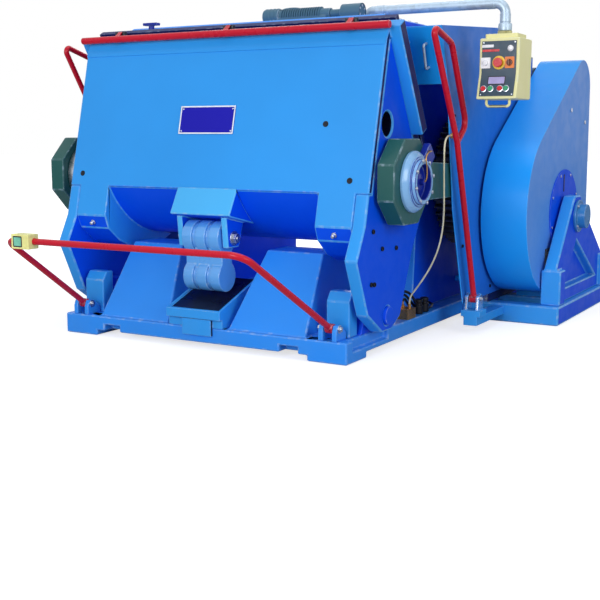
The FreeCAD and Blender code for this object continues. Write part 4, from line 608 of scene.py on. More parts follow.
def clevis_ear(face):
    """1 for the bright ears above a lever's foot block."""
    return int(face.calc_center_median().z > FOOT_TOP)


def grip_end(face):
    """1 for the handle that stands in front of the gear cover."""
    return int(face.calc_center_median().y + BASE_FRONT < COVER_FRONT)


print("web hole at", WEB_HOLE)

# %% [markdown]
# Castings get a generous radius, sheet metal and small caps a fine one. Two tables hold what differs
# from the usual, so one loop can dress all the parts. Each copy stands in for its CAD node.

# %% Dress every part
USUAL_WIDTH = 0.003
DRESSED_WIDTH = {
    "base_casting": 0.008, "outrigger_base": 0.010, "bearing_pedestal": 0.008, "platen_casting": 0.006,
    "platen_sides": 0.008, "centre_boss": 0.006, "right_arm": 0.006, "left_arm": 0.006,
    "bed_casting": 0.006, "toe_stops": 0.006, "balance_link": 0.004, "control_box": 0.006,
    "guard_screws": 0.001, "drive_belts": 0.002, "oil_fittings": 0.001, "control_panel": 0.0008,
    "name_plate": 0.0006, "access_cover": 0.0015, "gear_guard_right": 0.0015, "gear_guard_left": 0.0015,
    "gear_cover": 0.0015, "flywheel_guard": 0.0025, "bar_clips": 0.002, "shaft_bushes": 0.001,
    "stop_button": 0.0015, "start_button": 0.0015, "hold_button": 0.0015, "run_button": 0.0015,
    "selector_knob": 0.0015, "estop": 0.002, "pinions": 0.0015, "crank_gears": 0.0015,
}
# Fronts in the plain paint, sides in the deeper blue of painted shade.
plain_front_shaded_sides = ([finish["enamel_light"], shaded_side_blue], sideways)
guard_front_shaded_sides = ([finish["cover_enamel"], guard_side_shade], sideways)
capped = ([finish["cap_navy"], flange_pale], cap_flange)
TWO_TONE = {
    "platen_sides": ([finish["enamel_light"], shaded_side_blue, dark_tray_and_hole_shade], side_plate),
    "bearing_pedestal": plain_front_shaded_sides, "outrigger_base": plain_front_shaded_sides,
    "flywheel_guard": ([finish["cover_enamel"], finish["guard_enamel"]], sideways),
    "gear_guard_right": guard_front_shaded_sides, "gear_guard_left": guard_front_shaded_sides,
    "bed_casting": ([finish["enamel_blue"], shaded_side_blue], sideways),
    "platen_casting": ([finish["enamel_light"], shaded_side_blue, navy_chase_and_shade], platen_face),
    "centre_boss": ([boss_pale, shaded_side_blue], boss_cheek),
    "centre_tray": ([finish["enamel_light"], dark_tray_and_hole_shade], tray_floor),
    "right_cap": capped, "left_cap": capped,
    "gear_cover": ([finish["cover_enamel"], finish["steel"]], grip_end),
    "lever_brackets": ([finish["enamel_light"], finish["steel"]], clevis_ear),
    "balance_link": ([link_pale], None), "outboard_bearing": ([bearing_blue], None),
    "pivot_lugs": ([shaded_side_blue], None), "access_cover": ([shaded_side_blue], None),
    "die_chase": ([navy_chase_and_shade], None),
}
for node in sorted(set(frame["nodes"]) - {"oil_hose", "control_pipe"}):
    materials, pick = TWO_TONE.get(node, ([finish[slot_of[node]]], None))
    dressed(node, materials, DRESSED_WIDTH.get(node, USUAL_WIDTH), pick)
print("dressed parts:", len(to_round))

# %% [markdown]
# A screw is drawn once, upright, and then put wherever the press has one like it. Its place is a
# matrix: a point, and the direction that the screw looks in. Many sit in pairs on both sides, or in a
# ring round a shaft, so each of these has a helper of its own.


# %% Places for small hardware
def facing(point, direction):
    """Place whose own Z axis looks along a direction."""
    return Matrix.Translation(point) @ Vector(direction).to_track_quat("Z", "Y").to_matrix().to_4x4()


def both_sides(x, y, z):
    """Places on the right and the left of the press that look outwards."""
    return [facing(at(side * x, y, z), (side, 0, 0)) for side in (1, -1)]


def ring_places(centre, radius, count, start, side=1):
    """Places evenly round an axis along X that look to one side."""
    turns = [start + 2 * math.pi * k / count for k in range(count)]
    return [facing(centre + radius * Vector((0, math.cos(a), math.sin(a))), (side, 0, 0)) for a in turns]


print("first of a ring:", ring_places(Vector(), 0.1, 4, 0)[0].translation.to_tuple(2))

# %% [markdown]
# The small hardware is turned, sawn or bent, and a few short helpers cover it all: a lathe for round
# forms, a slab for flat outlines, and a fixture that turns the drawn form into a rounded piece and
# lets it ride on its body. Each set of like screws becomes one object, as they share a finish.


# %% Lathe, slab and fixture
def lathe(shape, profile, place, steps=40):
    """Turned form from (radius, height) pairs, open or closed on the axis."""
    rings = []
    for radius, height in profile:
        turns = [2 * math.pi * k / steps for k in range(steps if radius > 0 else 1)]
        spots = [Vector((radius * math.cos(a), radius * math.sin(a), height)) for a in turns]
        rings.append([shape.verts.new(place @ spot) for spot in spots])
    for low, high in zip(rings, rings[1:]):
        for k in range(steps):
            around = ((low, k), (low, k + 1), (high, k + 1), (high, k))
            corners = [ring[n % len(ring)] for ring, n in around]
            shape.faces.new(list(dict.fromkeys(corners)))


def slab(shape, outline, place, low, high):
    """Flat form: an outline in the place's own X and Y, between two heights."""
    below, above = ([shape.verts.new(place @ Vector((x, y, h))) for x, y in outline] for h in (low, high))
    shape.faces.new(below[::-1])
    shape.faces.new(above)
    for k in range(len(outline)):
        m = (k + 1) % len(outline)
        shape.faces.new((below[k], below[m], above[m], above[k]))


def oblong(width, height, corner=0.0, steps=4):
    """Outline of a rectangle with round corners."""
    if not corner:
        return [(sx * width / 2, sy * height / 2) for sx, sy in ((-1, -1), (1, -1), (1, 1), (-1, 1))]
    points = []
    for quarter, (sx, sy) in enumerate(((1, 1), (-1, 1), (-1, -1), (1, -1))):
        for k in range(steps + 1):
            angle = (quarter + k / steps) * math.pi / 2
            points.append((sx * (width / 2 - corner) + corner * math.cos(angle),
                           sy * (height / 2 - corner) + corner * math.sin(angle)))
    return points


def fixture(name, draw, look, body, width):
    """Piece drawn by a function, rounded, and carried by a body."""
    material, slot = finish_and_slot(look)
    mesh = bpy.data.meshes.new(name)
    shape = bmesh.new()
    draw(shape)
    bmesh.ops.recalc_face_normals(shape, faces=shape.faces)
    shape.to_mesh(mesh)
    shape.free()
    mesh.materials.append(material)
    made = bpy.data.objects.new(name, mesh)
    scene.collection.objects.link(made)
    rounded(made, width)
    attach(made, body)


def turned(name, profile, places, look, body, width, steps=40):
    """The same turned form at several places, as one piece."""
    def draw(shape):
        for place in places:
            lathe(shape, profile, place, steps)
    fixture(name, draw, look, body, width)


print("points of a rounded outline:", len(oblong(0.1, 0.1, 0.01)))

# %% [markdown]
# Two kinds of screw hold the press together: bright hexagon heads on washers, and black cap screws
# with a deep socket. All their measures follow from one size, as they do in a screw table.

# %% Bolts and screws
HEXAGON = [(math.cos(k * math.pi / 3), math.sin(k * math.pi / 3)) for k in range(6)]
blackened = (black_oxide, "black_clip")


def hex_bolts(name, places, size, body, washer=True):
    """Hexagon heads on washers; size is the head's width across corners."""
    seat = size * 0.10 if washer else 0.0
    head = seat + size * 0.36
    crown = seat + size * 0.44

    def draw(shape):
        for place in places:
            if washer:
                lathe(shape, [(0, 0), (size * 0.72, 0), (size * 0.72, seat), (0, seat)], place, 24)
            slab(shape, [(x * size / 2, y * size / 2) for x, y in HEXAGON], place, seat, head)
            lathe(shape, [(0, head), (size * 0.24, head), (size * 0.2, crown), (0, crown)], place, 16)
    fixture(name, draw, "steel", body, size * 0.03)


def socket_screws(name, places, radius, body):
    """Cap screws with a round head and a deep socket."""
    depth = radius * 0.7
    profile = [(0, 0), (radius, 0), (radius, depth), (radius * 0.55, depth),
               (radius * 0.5, depth * 0.25), (0, depth * 0.25)]
    turned(name, profile, places, blackened, body, radius * 0.08, 24)


print("corners of a bolt head:", len(HEXAGON))

# %% [markdown]
# The front panel is plain but for three dark threaded plugs and the name plate. Under its corner
# blocks sit two bright grease nipples. The panel leans back, so a helper gives its depth at any height,
# and the plugs look along the direction that it faces.

# %% Front panel hardware
PANEL_FOOT = (0.074, 0.562)
PANEL_LEAN = 0.2425
panel_out = Vector((0, -1, PANEL_LEAN)).normalized()
block_out = Vector((0, -0.062, -0.026)).normalized()
PLUG_SPOTS = ((-0.734, 0.757), (0.562, 0.985), (0.706, 0.753))
PLUG = [(0, 0), (0.013, 0), (0.013, 0.0015), (0.0075, 0.0015), (0.0065, 0.0004), (0, 0.0004)]
NIPPLE = [(0, 0), (0.012, 0), (0.012, 0.006), (0.007, 0.008), (0.006, 0.014), (0.009, 0.017),
          (0.007, 0.023), (0, 0.025)]


def panel_y(z):
    """Depth of the leaning panel at a height."""
    return PANEL_FOOT[0] + (z - PANEL_FOOT[1]) * PANEL_LEAN


plug_places = [facing(at(x, panel_y(z), z), panel_out) for x, z in PLUG_SPOTS]
turned("panel_plugs", PLUG, plug_places, blackened, "platen", 0.0004, 28)
nipple_places = [facing(at(x, 0.0874, 0.530), block_out) for x in (-0.646, 0.654)]
turned("grease_nipples", NIPPLE, nipple_places, "steel", "platen", 0.0006, 24)
print("plugs:", len(plug_places))

# %% [markdown]
# A cap strip closes the panel at the top. It follows the sheet over its fold to the crown, so its
# outline is drawn in the side view and pulled across the press.

# %% Panel top band
FOLD = (0.261, 1.333)
CROWN = (0.285, 1.372)
BAND_LOW = 1.309
BAND_PROUD = 0.004
BAND_HALF = 0.798
ALONG_X = Matrix.Translation((0, -BASE_FRONT, 0)) @ Matrix(((0, 0, 1), (1, 0, 0), (0, 1, 0))).to_4x4()


def top_band(shape):
    """Strip over the fold: the sheet's own line, and the same line a little in front."""
    line = [(panel_y(BAND_LOW), BAND_LOW), FOLD, CROWN]
    proud = [(y - BAND_PROUD, z) for y, z in line]
    slab(shape, line[1:] + proud[::-1] + line[:1], ALONG_X, -BAND_HALF, BAND_HALF)


fixture("panel_top_band", top_band, "enamel_light", "platen", 0.0015)
print("band half width:", BAND_HALF)

# %% [markdown]
# The plate on the panel is plain dark blue enamel with a raised pale border and a rivet in each
# corner. A real border is a lip stamped in the sheet, so it is four thin bars of metal here and not a
# painted line.

# %% Name plate
PLATE_X = (-0.194, 0.102)
PLATE_Z = (0.943, 1.067)
PLATE_OUT = 0.0035
BORDER = 0.006
BORDER_HIGH = 0.0016
RIVET_IN = 0.014
RIVET = [(0, 0), (0.004, 0), (0.0035, 0.0014), (0.002, 0.002), (0, 0.0022)]
plate_mid_z = sum(PLATE_Z) / 2
plate_middle = at(sum(PLATE_X) / 2, panel_y(plate_mid_z), plate_mid_z) + panel_out * PLATE_OUT
plate_place = Matrix.Translation(plate_middle) @ Matrix(
    ((1, 0, 0), (0, PANEL_LEAN, -1), (0, 1, PANEL_LEAN))).to_4x4().normalized()
plate_wide = PLATE_X[1] - PLATE_X[0]
plate_tall = (PLATE_Z[1] - PLATE_Z[0]) * math.hypot(1, PANEL_LEAN)


def plate_border(shape):
    """Four bars round the edge of the plate."""
    for side in (-1, 1):
        across = plate_place @ Matrix.Translation((0, side * (plate_tall - BORDER) / 2, 0))
        slab(shape, oblong(plate_wide, BORDER), across, 0, BORDER_HIGH)
        upright = plate_place @ Matrix.Translation((side * (plate_wide - BORDER) / 2, 0, 0))
        slab(shape, oblong(BORDER, plate_tall - 2 * BORDER), upright, 0, BORDER_HIGH)


fixture("plate_border", plate_border, (label_white, "plate_blue"), "platen", 0.0005)
rivet_spots = oblong(plate_wide - 2 * RIVET_IN, plate_tall - 2 * RIVET_IN)
rivet_places = [plate_place @ Matrix.Translation((x, y, 0)) for x, y in rivet_spots]
turned("plate_rivets", RIVET, rivet_places, "steel", "platen", 0.0002, 20)
print("plate", round(plate_wide, 3), "by", round(plate_tall, 3))

# %% [markdown]
# Cap screws hold the pivots inside the platen's side plates, and hexagon bolts close the ends of the
# link's pin. They are black or bright steel, and their sockets read as dark dots from a distance. A
# dark disc lines the web hole of each side plate as painted shade, where the real one opens into the
# hollow casting.

# %% Screws on the platen
LEG_SCREWS = ((0.150, 0.544), (0.239, 0.465), (0.380, 0.456), (0.137, 0.324), (0.166, 0.321))
WEB_HOLE_SHADE_DISC = [(0, 0), (0.0515, 0), (0.0515, 0.003), (0.048, 0.004), (0, 0.004)]
leg_places = [place for y, z in LEG_SCREWS for place in both_sides(0.800, y, z)]
socket_screws("leg_screws", leg_places, 0.010, "platen")
hex_bolts("link_pin_bolts", both_sides(0.134, 0.116, 0.487), 0.046, "platen")
turned("web_hole_shade_disc", WEB_HOLE_SHADE_DISC, both_sides(0.744, *WEB_HOLE), (dark_tray_and_hole_shade, "cap_navy"), "platen", 0.0006)
print("leg screws:", len(leg_places))

# %% [markdown]
# Each crank arm swings on a big pin in the platen. Its cap is bolted on with a ring of hexagon bolts,
# and a thin pipe brings oil to the middle of the cap from the key block. The pipe is a bent tube, so
# it is a curve with a small round section.

# %% Arm caps
CAP_BOLTS = 8
BOLT_RING = 0.090
FLANGE_IN = 0.054
HUB_IN = 0.030
FLANGE = [(0.104, 0.0), (0.130, 0.0), (0.130, 0.012), (0.119, 0.026), (0.110, 0.030), (0.104, 0.030)]
HUB = [(0, 0), (0.040, 0), (0.040, 0.006), (0.030, 0.010), (0.014, 0.012), (0.013, 0.030), (0, 0.031)]
CAP_PIPE = (
    (-0.002, 0.330, 0.745), (0.006, 0.330, 0.748), (0.011, 0.331, 0.775), (0.011, 0.326, 0.815),
    (0.009, 0.316, 0.842), (0.008, 0.340, 0.868), (0.006, 0.395, 0.872), (-0.012, 0.420, 0.872),
    (-0.030, 0.425, 0.872),
)
for tag, side, face in (("right", 1, 0.950), ("left", -1, 1.020)):
    rod = tag + "_rod"
    bolts = ring_places(at(side * face, *PIN), BOLT_RING, CAP_BOLTS, math.radians(15), side)
    hex_bolts(tag + "_cap_bolts", bolts, 0.017, rod, False)
    flange = facing(at(side * (face - FLANGE_IN), *PIN), (side, 0, 0))
    turned(tag + "_cap_flange", FLANGE, [flange], (flange_pale, "steel"), rod, 0.0015, 64)
    hub = facing(at(side * (face - HUB_IN), *PIN), (side, 0, 0))
    turned(tag + "_cap_hub", HUB, [hub], "cap_navy", rod, 0.001)
    bend = [at(side * (face + out), y, z) for out, y, z in CAP_PIPE]
    line_curve(tag + "_cap_pipe", bend, 0.003, True, "bronze", rod)
print("bolts on each cap:", CAP_BOLTS)

# %% [markdown]
# The hand controls hang on steel pipe, bent tight at the post and wide over the box. Its screwed
# sockets are thicker than the pipe and have a rolled lip at each end, which a lathe profile gives in
# one go. A wide sleeve ends the pipe, and a plate stiffens the lid of the box below it.

# %% Control pipe and sockets
PIPE_Y = 0.750
PIPE_Z = 1.504
POST_X = 0.475
BOX_X = 1.135
PIPE_RADIUS = 0.0222
PIPE_BENDS = (0.0255, 0.045)
SOCKET_X = (0.540, 1.070)
SOCKET_Z = 1.440
SLEEVE_Z = 1.386
SOCKET = [(0.0215, -0.018), (0.0236, -0.018), (0.0239, -0.015), (0.0234, -0.011), (0.0234, 0.011),
          (0.0239, 0.015), (0.0236, 0.018), (0.0215, 0.018)]
SLEEVE = [(0.0215, 0.0), (0.0290, 0.0), (0.0298, 0.003), (0.0298, 0.026), (0.0270, 0.032), (0.0215, 0.032)]


def bent_run(corners, radii, steps=10):
    """Straight runs with round bends, for a pipe that was bent on a former."""
    run = [corners[0]]
    for before, corner, after, radius in zip(corners, corners[1:], corners[2:], radii):
        come = (before - corner).normalized()
        leave = (after - corner).normalized()
        setback = radius / math.tan(come.angle(leave) / 2)
        middle = corner + (come + leave).normalized() * math.hypot(setback, radius)
        start = corner + come * setback - middle
        stop = corner + leave * setback - middle
        for k in range(steps + 1):
            run.append(middle + start.slerp(stop, k / steps).normalized() * radius)
    return run + [corners[-1]]


PIPE_CORNERS = ((POST_X, 1.4775), (POST_X, PIPE_Z), (BOX_X, PIPE_Z), (BOX_X, 1.358))
pipe_run = bent_run([at(x, PIPE_Y, z) for x, z in PIPE_CORNERS], PIPE_BENDS)
control_pipe = line_curve("control_pipe_run", pipe_run, PIPE_RADIUS, False, "galvanised", "control_arm")
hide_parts("control_pipe")
socket_places = [facing(at(x, PIPE_Y, PIPE_Z), (1, 0, 0)) for x in SOCKET_X]
socket_places.append(facing(at(BOX_X, PIPE_Y, SOCKET_Z), (0, 0, 1)))
turned("pipe_sockets", SOCKET, socket_places, "galvanised", "control_arm", 0.0008)
sleeve_place = facing(at(BOX_X, PIPE_Y, SLEEVE_Z), (0, 0, 1))
turned("pipe_end_sleeve", SLEEVE, [sleeve_place], "galvanised", "control_arm", 0.0008)
box_lid = Matrix.Translation(at(BOX_X, 0.766, 1.352))
lid_outline = oblong(0.146, 0.126, 0.010)
fixture("box_top_plate", lambda shape: slab(shape, lid_outline, box_lid, -0.001, 0.019), "cream",
        "control_head", 0.0015)
print("pipe sockets:", len(socket_places))

# %% [markdown]
# The oil set on top of the bed is a small finned motor, a pump head and a bridging pipe. Cooling fins
# are thin rings close together; one lathe profile that steps in and out draws the whole barrel.

# %% Oil set
OIL_AXIS = at(0, 0.620, 1.490)
FINNED = (
    ("oil_motor_fins", (0.095, 0.300, 0.0125, 0.0248, 0.0335), 0.0004),
    ("oil_bell_bands", (0.004, 0.070, 0.020, 0.0348, 0.0375), 0.0006),
    ("pump_head_bands", (0.418, 0.500, 0.026, 0.0375, 0.0379), 0.0004),
)
BRIDGE = ((0.085, 1.500), (0.088, 1.514), (0.100, 1.5215), (0.135, 1.5235), (0.170, 1.5225),
          (0.200, 1.514), (0.212, 1.500))


def fin_rings(start, stop, pitch, inner, outer):
    """Profile of round fins along the axis."""
    profile = []
    place = start
    while place < stop:
        profile += [(inner, place), (outer, place + 0.001)]
        profile += [(outer, place + pitch * 0.42), (inner, place + pitch * 0.5)]
        place += pitch
    return profile


for name, rings, width in FINNED:
    turned(name, fin_rings(*rings), [facing(OIL_AXIS, (1, 0, 0))], "pump_teal", "frame", width)
head_bolts = ring_places(OIL_AXIS + Vector((0.505, 0, 0)), 0.026, 6, math.pi / 6)
hex_bolts("pump_head_bolts", head_bolts, 0.011, "frame", False)
line_curve("oil_bridge_pipe", [at(x, 0.618, z) for x, z in BRIDGE], 0.0045, True, "pump_teal", "frame")
print("finned barrels:", len(FINNED))

# %% [markdown]
# The main motor sits behind the gear guard. Its barrel has straight ribs along the shaft, and its far
# end a fan cowl with a grille. The ribs fill the gap that the CAD barrel leaves inside its end bells.

# %% Motor ribs and fan cowl
MOTOR_AXIS = at(0, 2.010, 1.185)
BARREL_MID = Vector((0.744, 0, 0))
BARREL_RADIUS = 0.108
COWL_END = Vector((0.600, 0, 0))
RIBS = 40
RIB_TOP = 0.80
RIB_LOW = -0.62
RIB_HIGH = 0.0098
COWL = [(0.020, 0.0), (0.026, 0.004), (0.034, 0.0), (0.042, 0.004), (0.050, 0.0), (0.058, 0.004),
        (0.066, 0.0), (0.074, 0.004), (0.082, 0.0), (0.090, 0.004), (0.098, 0.0), (0.106, 0.005),
        (0.114, 0.0)]


def motor_ribs(shape):
    """Ribs round the barrel, but for its terminal box and its feet."""
    for k in range(RIBS):
        angle = 2 * math.pi * k / RIBS
        lift = math.sin(angle)
        if lift > RIB_TOP or lift < RIB_LOW:
            continue
        outward = Vector((0, math.cos(angle), lift))
        side = Vector((0, -lift, math.cos(angle)))
        turn = Matrix((Vector((1, 0, 0)), side, outward)).transposed().to_4x4()
        place = Matrix.Translation(MOTOR_AXIS + BARREL_MID + outward * BARREL_RADIUS) @ turn
        slab(shape, oblong(0.220, 0.0035), place, 0, RIB_HIGH)


fixture("motor_ribs", motor_ribs, "pump_teal", "frame", 0.0006)
cowl_place = facing(MOTOR_AXIS + COWL_END, (-1, 0, 0))
turned("motor_fan_grille", COWL, [cowl_place], "black_clip", "frame", 0.0004)
print("motor axis at", tuple(round(v, 3) for v in MOTOR_AXIS))

# %% [markdown]
# The control panel carries a lamp, a dial, a mushroom stop button in a yellow ring, a turn switch on
# an orange base, a small display and four push buttons in steel bezels. The lower half of the panel
# slopes towards the operator, so its pieces face along that slope.

# %% Control panel
FACE_Y = 0.682
BREAK_Z = 1.205
NOSE = 0.032
NOSE_RISE = 0.113
upper_out = Vector((0, -1, 0))
slope_out = Vector((0, -0.9622, 0.2725)).normalized()
ROW_Z = 1.247
DIAL_X = 1.076
DISPLAY = (1.130, 1.172)


def on_film(x, z):
    """Point on the panel's film, and the direction that the film faces there."""
    if z > BREAK_Z:
        return at(x, FACE_Y, z), upper_out
    return at(x, FACE_Y - NOSE * (BREAK_Z - z) / NOSE_RISE, z), slope_out


def panel_item(name, outline, x, z, thick, look, width=0.0006):
    """Flat piece on the film."""
    point, out = on_film(x, z)
    side = Vector((1, 0, 0))
    place = Matrix.Translation(point) @ Matrix((side, out.cross(side), out)).transposed().to_4x4()
    fixture(name, lambda shape: slab(shape, outline, place, -0.0005, thick), look, "control_head", width)


def panel_knob(name, profile, spots, look, width, steps=40):
    """Round pieces on the film."""
    turned(name, profile, [facing(*on_film(x, z)) for x, z in spots], look, "control_head", width, steps)


panel_item("blank_label", oblong(0.052, 0.012, 0.002), 1.084, 1.318, 0.0010, (label_white, "panel_slate"))
panel_item("scale_strip", oblong(0.076, 0.010, 0.002), 1.098, 1.299, 0.0008, "button_red")
panel_item("dial_plate", oblong(0.044, 0.046, 0.003), DIAL_X, ROW_Z, 0.0030, (white_lens, "panel_slate"))
panel_item("switch_base", oblong(0.042, 0.048, 0.004), 1.183, ROW_Z, 0.0006,
           (orange_base, "knob_brown"), 0.0002)
panel_item("display", oblong(0.072, 0.030, 0.002), *DISPLAY, 0.0012, (lavender_glass, "panel_slate"))
panel_item("display_bezel", oblong(0.080, 0.038, 0.003), *DISPLAY, 0.0007, "black_clip")
print("film breaks at", BREAK_Z)

# %% [markdown]
# What is round on the panel comes off the lathe: the lamp's dome, the dial's knob, the yellow ring,
# the bezels and the corner screws. The caps themselves are CAD parts, because they move.

# %% Lamp, dial, ring and bezels
LAMP = [(0, 0), (0.0130, 0), (0.0130, 0.003), (0.0110, 0.004), (0.0105, 0.007), (0.0070, 0.0105),
        (0, 0.0120)]
KNOB = [(0, 0.003), (0.0120, 0.003), (0.0110, 0.010), (0.0085, 0.012), (0, 0.012)]
STOP_RING = [(0.0150, 0), (0.0290, 0), (0.0280, 0.0016), (0.0150, 0.0018)]
BEZEL = [(0.0118, 0), (0.0150, 0), (0.0145, 0.0030), (0.0118, 0.0036)]
SCREW = [(0, 0), (0.0035, 0), (0.0030, 0.0012), (0, 0.0016)]
BUTTON_X = (1.076, 1.107, 1.150, 1.177)
BUTTON_Z = 1.136
panel_knob("white_lamp", LAMP, [(1.186, 1.306)], (white_lens, "panel_slate"), 0.0005)
panel_knob("dial_knob", KNOB, [(DIAL_X, ROW_Z)], (label_white, "panel_slate"), 0.0008)
panel_knob("stop_ring", STOP_RING, [(BOX_X, ROW_Z)], (yellow_ring, "panel_slate"), 0.0003)
panel_knob("button_bezels", BEZEL, [(x, BUTTON_Z) for x in BUTTON_X], "steel", 0.0003, 28)
screw_spots = [(x, z) for z in (1.332, 1.112) for x in (1.065, 1.205)]
panel_knob("panel_screws", SCREW, screw_spots, "steel", 0.0002, 16)
print("push buttons:", len(BUTTON_X))

# %% [markdown]
# The front trip bar carries a cream switch box with a green key in a dark frame, and pivots on pins
# with nuts. The loop levers have the same nuts at their feet. These are what the eye expects at a hinge.

# %% Trip bar and levers
BAR_PIN = (0.030, 0.145)
LEVER_PIN = (0.957, 0.165)
LEVER_NUT_OUT = 0.0355
NUT = 0.024
box_low, box_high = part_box("bar_switch_box")
box_mid = (box_low + box_high) / 2
key_point = Vector((box_mid.x - 0.012, box_low.y + SET_BACK["bar_switch_box"], box_mid.z))


def switch_front(width, height, corner, thick):
    """Drawing of a flat plate on the front of the switch box."""
    place = Matrix.Translation(key_point) @ Matrix.Rotation(math.pi / 2, 4, "X")
    return lambda shape: slab(shape, oblong(width, height, corner), place, -0.001, thick)


fixture("switch_frame", switch_front(0.050, 0.046, 0.004, 0.0006), "black_clip", "trip_bar", 0.0002)
key_plate = switch_front(0.040, 0.036, 0.003, 0.0012)
fixture("switch_key", key_plate, (key_green, "button_green"), "trip_bar", 0.0003)
nut_places = [facing(at(side * x, *BAR_PIN), (side * way, 0, 0))
              for side in (1, -1) for x, way in ((0.710, 1), (0.623, -1))]
hex_bolts("bar_foot_nuts", nut_places, NUT, "frame")
lever_nuts = [facing(at(x + way * LEVER_NUT_OUT, *LEVER_PIN), (way, 0, 0))
              for x in (0.950, -1.070) for way in (1, -1)]
hex_bolts("lever_foot_nuts", lever_nuts, NUT, "frame", False)
print("nuts:", len(nut_places) + len(lever_nuts))

# %% [markdown]
# The sheet-metal guards carry screws along their edges, a limit switch, and a slot and a handle to
# lift the covers by. The slot is a thin navy plate, painted shade for the dark opening. A skirt in the
# same navy closes the gap under the right-hand guard, its colour painted shade, and four bolts hold
# the bearing cap on its pedestal.

# %% Guards and covers
RIGHT_GUARD_X = 0.906
LEFT_GUARD_X = -0.976
BOTH_SCREWS = ((0.660, 1.341), (0.760, 1.024), (1.300, 0.180), (1.300, 1.400), (1.800, 1.300))
SKIRT = ((1.312, 0.096), (1.878, 0.096), (1.878, 0.150), (1.312, 0.150))
limit_place = facing(at(1.150, 1.464, 0.294), (1, 0, 0))
slot_place = facing(at(1.156, 1.690, 0.690), (1, 0, 0))


def limit_switch(shape):
    """Flat black switch on the flywheel guard, with a raised lid."""
    slab(shape, oblong(0.092, 0.150, 0.008), limit_place, -0.001, 0.010)
    slab(shape, oblong(0.076, 0.120, 0.006), limit_place, 0.010, 0.014)


guard_places = [facing(at(RIGHT_GUARD_X, y, z), (1, 0, 0)) for y, z in (*BOTH_SCREWS, (0.900, 0.420))]
guard_places += [facing(at(LEFT_GUARD_X, y, z), (-1, 0, 0)) for y, z in (*BOTH_SCREWS, (1.800, 0.300))]
socket_screws("guard_plate_screws", guard_places, 0.008, "frame")
# Navy sheet of painted shade, for the slot and the skirt.
navy_shade_sheet = (navy_chase_and_shade, "enamel_blue")
slot_outline = oblong(0.016, 0.090, 0.007)
fixture("cover_grip", lambda shape: slab(shape, slot_outline, slot_place, -0.001, 0.0025), navy_shade_sheet,
        "frame", 0.0008)
fixture("limit_switch", limit_switch, "black_clip", "frame", 0.0012)
fixture("guard_skirt", lambda shape: slab(shape, SKIRT, ALONG_X, 0.892, 0.899), navy_shade_sheet, "frame", 0.0010)
bearing_places = ring_places(at(1.246, 1.699, 0.521), 0.073, 4, math.pi / 4)
hex_bolts("bearing_bolts", bearing_places, 0.018, "frame", False)
GRIP_X = 0.825
grip_ends = [at(GRIP_X, 0.6135, 1.335), at(GRIP_X, 0.6475, 1.235)]
grip_out = Vector((0, -0.947, -0.322)) * 0.032
grip_run = [grip_ends[0], grip_ends[0] + grip_out, grip_ends[1] + grip_out, grip_ends[1]]
line_curve("cover_side_grip", bent_run(grip_run, (0.012, 0.012), 6), 0.006, False, "galvanised", "frame")
print("guard screws:", len(guard_places))

# %% [markdown]
# Brass outlets stand in a row on the oil manifold by the right foot of the bed. Three dark pipes run
# from them along the base and into the bed's cheek, past two filter bowls. The pipes are bent by hand,
# so each is a smooth curve with a few points.

# %% Oil pipes and filters
OUTLET_X = 0.700
OUTLET_Y = (0.635, 0.660, 0.685)
BOWL_Y = (0.805, 0.875)
OUTLET = [(0, 0), (0.010, 0), (0.010, 0.010), (0.006, 0.012), (0.006, 0.026), (0.0045, 0.029), (0, 0.029)]
BOWL = [(0, 0), (0.020, 0), (0.023, 0.004), (0.023, 0.040), (0.017, 0.046), (0.017, 0.054),
        (0.021, 0.056), (0.021, 0.068), (0.012, 0.072), (0, 0.072)]
OIL_PIPES = (
    ((0.700, 0.635, 0.168), (0.700, 0.635, 0.205), (0.716, 0.640, 0.228), (0.728, 0.720, 0.205),
     (0.728, 0.800, 0.120), (0.726, 0.900, 0.103), (0.722, 0.985, 0.104), (0.706, 1.030, 0.112),
     (0.672, 1.040, 0.116)),
    ((0.700, 0.660, 0.168), (0.700, 0.660, 0.195), (0.706, 0.690, 0.205), (0.708, 0.760, 0.160),
     (0.708, 0.830, 0.110), (0.708, 0.920, 0.102), (0.705, 0.965, 0.106), (0.692, 0.990, 0.114),
     (0.670, 0.996, 0.118)),
    ((0.700, 0.685, 0.168), (0.700, 0.690, 0.180), (0.695, 0.730, 0.172), (0.690, 0.790, 0.125),
     (0.690, 0.860, 0.102), (0.689, 0.910, 0.104), (0.684, 0.935, 0.112), (0.668, 0.944, 0.118)),
)
outlet_places = [facing(at(OUTLET_X, y, 0.143), (0, 0, 1)) for y in OUTLET_Y]
turned("manifold_outlets", OUTLET, outlet_places, "bronze", "frame", 0.0006, 24)
for k, run in enumerate(OIL_PIPES):
    line_curve("oil_pipe_%d" % k, [at(*p) for p in run], 0.0065, True, blackened, "frame")
bowl_places = [facing(at(0.728, y, 0.0955), (0, 0, 1)) for y in BOWL_Y]
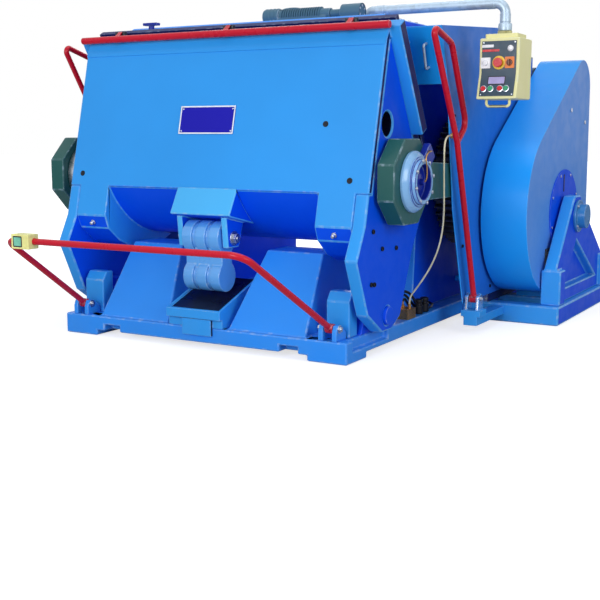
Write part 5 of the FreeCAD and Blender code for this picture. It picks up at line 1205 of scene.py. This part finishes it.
turned("oil_filter_bowls", BOWL, bowl_places, blackened, "frame", 0.0012, 32)
print("oil pipes:", len(OIL_PIPES))

# %% [markdown]
# A line of bolts holds the deck down to the cheeks, and ribs stiffen the back of the leaning bed.
# They are small, but the views from above and behind are bare without them.

# %% Deck bolts and bed ribs
LEAN = math.radians(30)
PLANE_TOP = (0.300, 1.345)
BED_BACK = 0.212
RIB_HALF = 0.014
RIB_X = (-0.42, -0.21, 0.0, 0.21, 0.42)
DECK_BOLT_Y = (0.540, 0.640, 0.740, 0.840, 0.920)
RIB_LINE = ((0.09, -0.004), (0.17, 0.080), (0.66, 0.080), (0.79, 0.010), (0.79, -0.004))


def behind_plane(down, behind):
    """Point on the leaning bed: down along it, and behind the closing plane, as (y, z)."""
    return (PLANE_TOP[0] + down * math.sin(LEAN) + behind * math.cos(LEAN),
            PLANE_TOP[1] - down * math.cos(LEAN) + behind * math.sin(LEAN))


def bed_ribs(shape):
    """Casting ribs down the back of the bed."""
    outline = [behind_plane(down, BED_BACK + behind) for down, behind in RIB_LINE]
    for x in RIB_X:
        slab(shape, outline, ALONG_X, x - RIB_HALF, x + RIB_HALF)


deck_places = [facing(at(x, y, 1.451), (0, 0, 1)) for x in (0.640, -0.640) for y in DECK_BOLT_Y]
hex_bolts("deck_bolts", deck_places, 0.022, "frame")
fixture("bed_ribs", bed_ribs, "enamel_blue", "frame", 0.005)
print("deck bolts:", len(deck_places))

# %% [markdown]
# All the edges are rounded in one go at the end, because each added modifier makes Blender work the
# piece out again. The rounded strip of a painted part takes the worn version of its paint.

# %% Round every edge
for made, width, edge_number, limit in to_round:
    bevel = made.modifiers.new("round_off", "BEVEL")
    bevel.width = width
    bevel.segments = 2
    bevel.limit_method = limit
    bevel.angle_limit = EDGE_ANGLE
    bevel.use_clamp_overlap = False
    bevel.material = edge_number
    weighted = made.modifiers.new("flat_faces", "WEIGHTED_NORMAL")
    weighted.weight = 90
    weighted.keep_sharp = limit == "WEIGHT"
print("rounded pieces:", len(to_round))
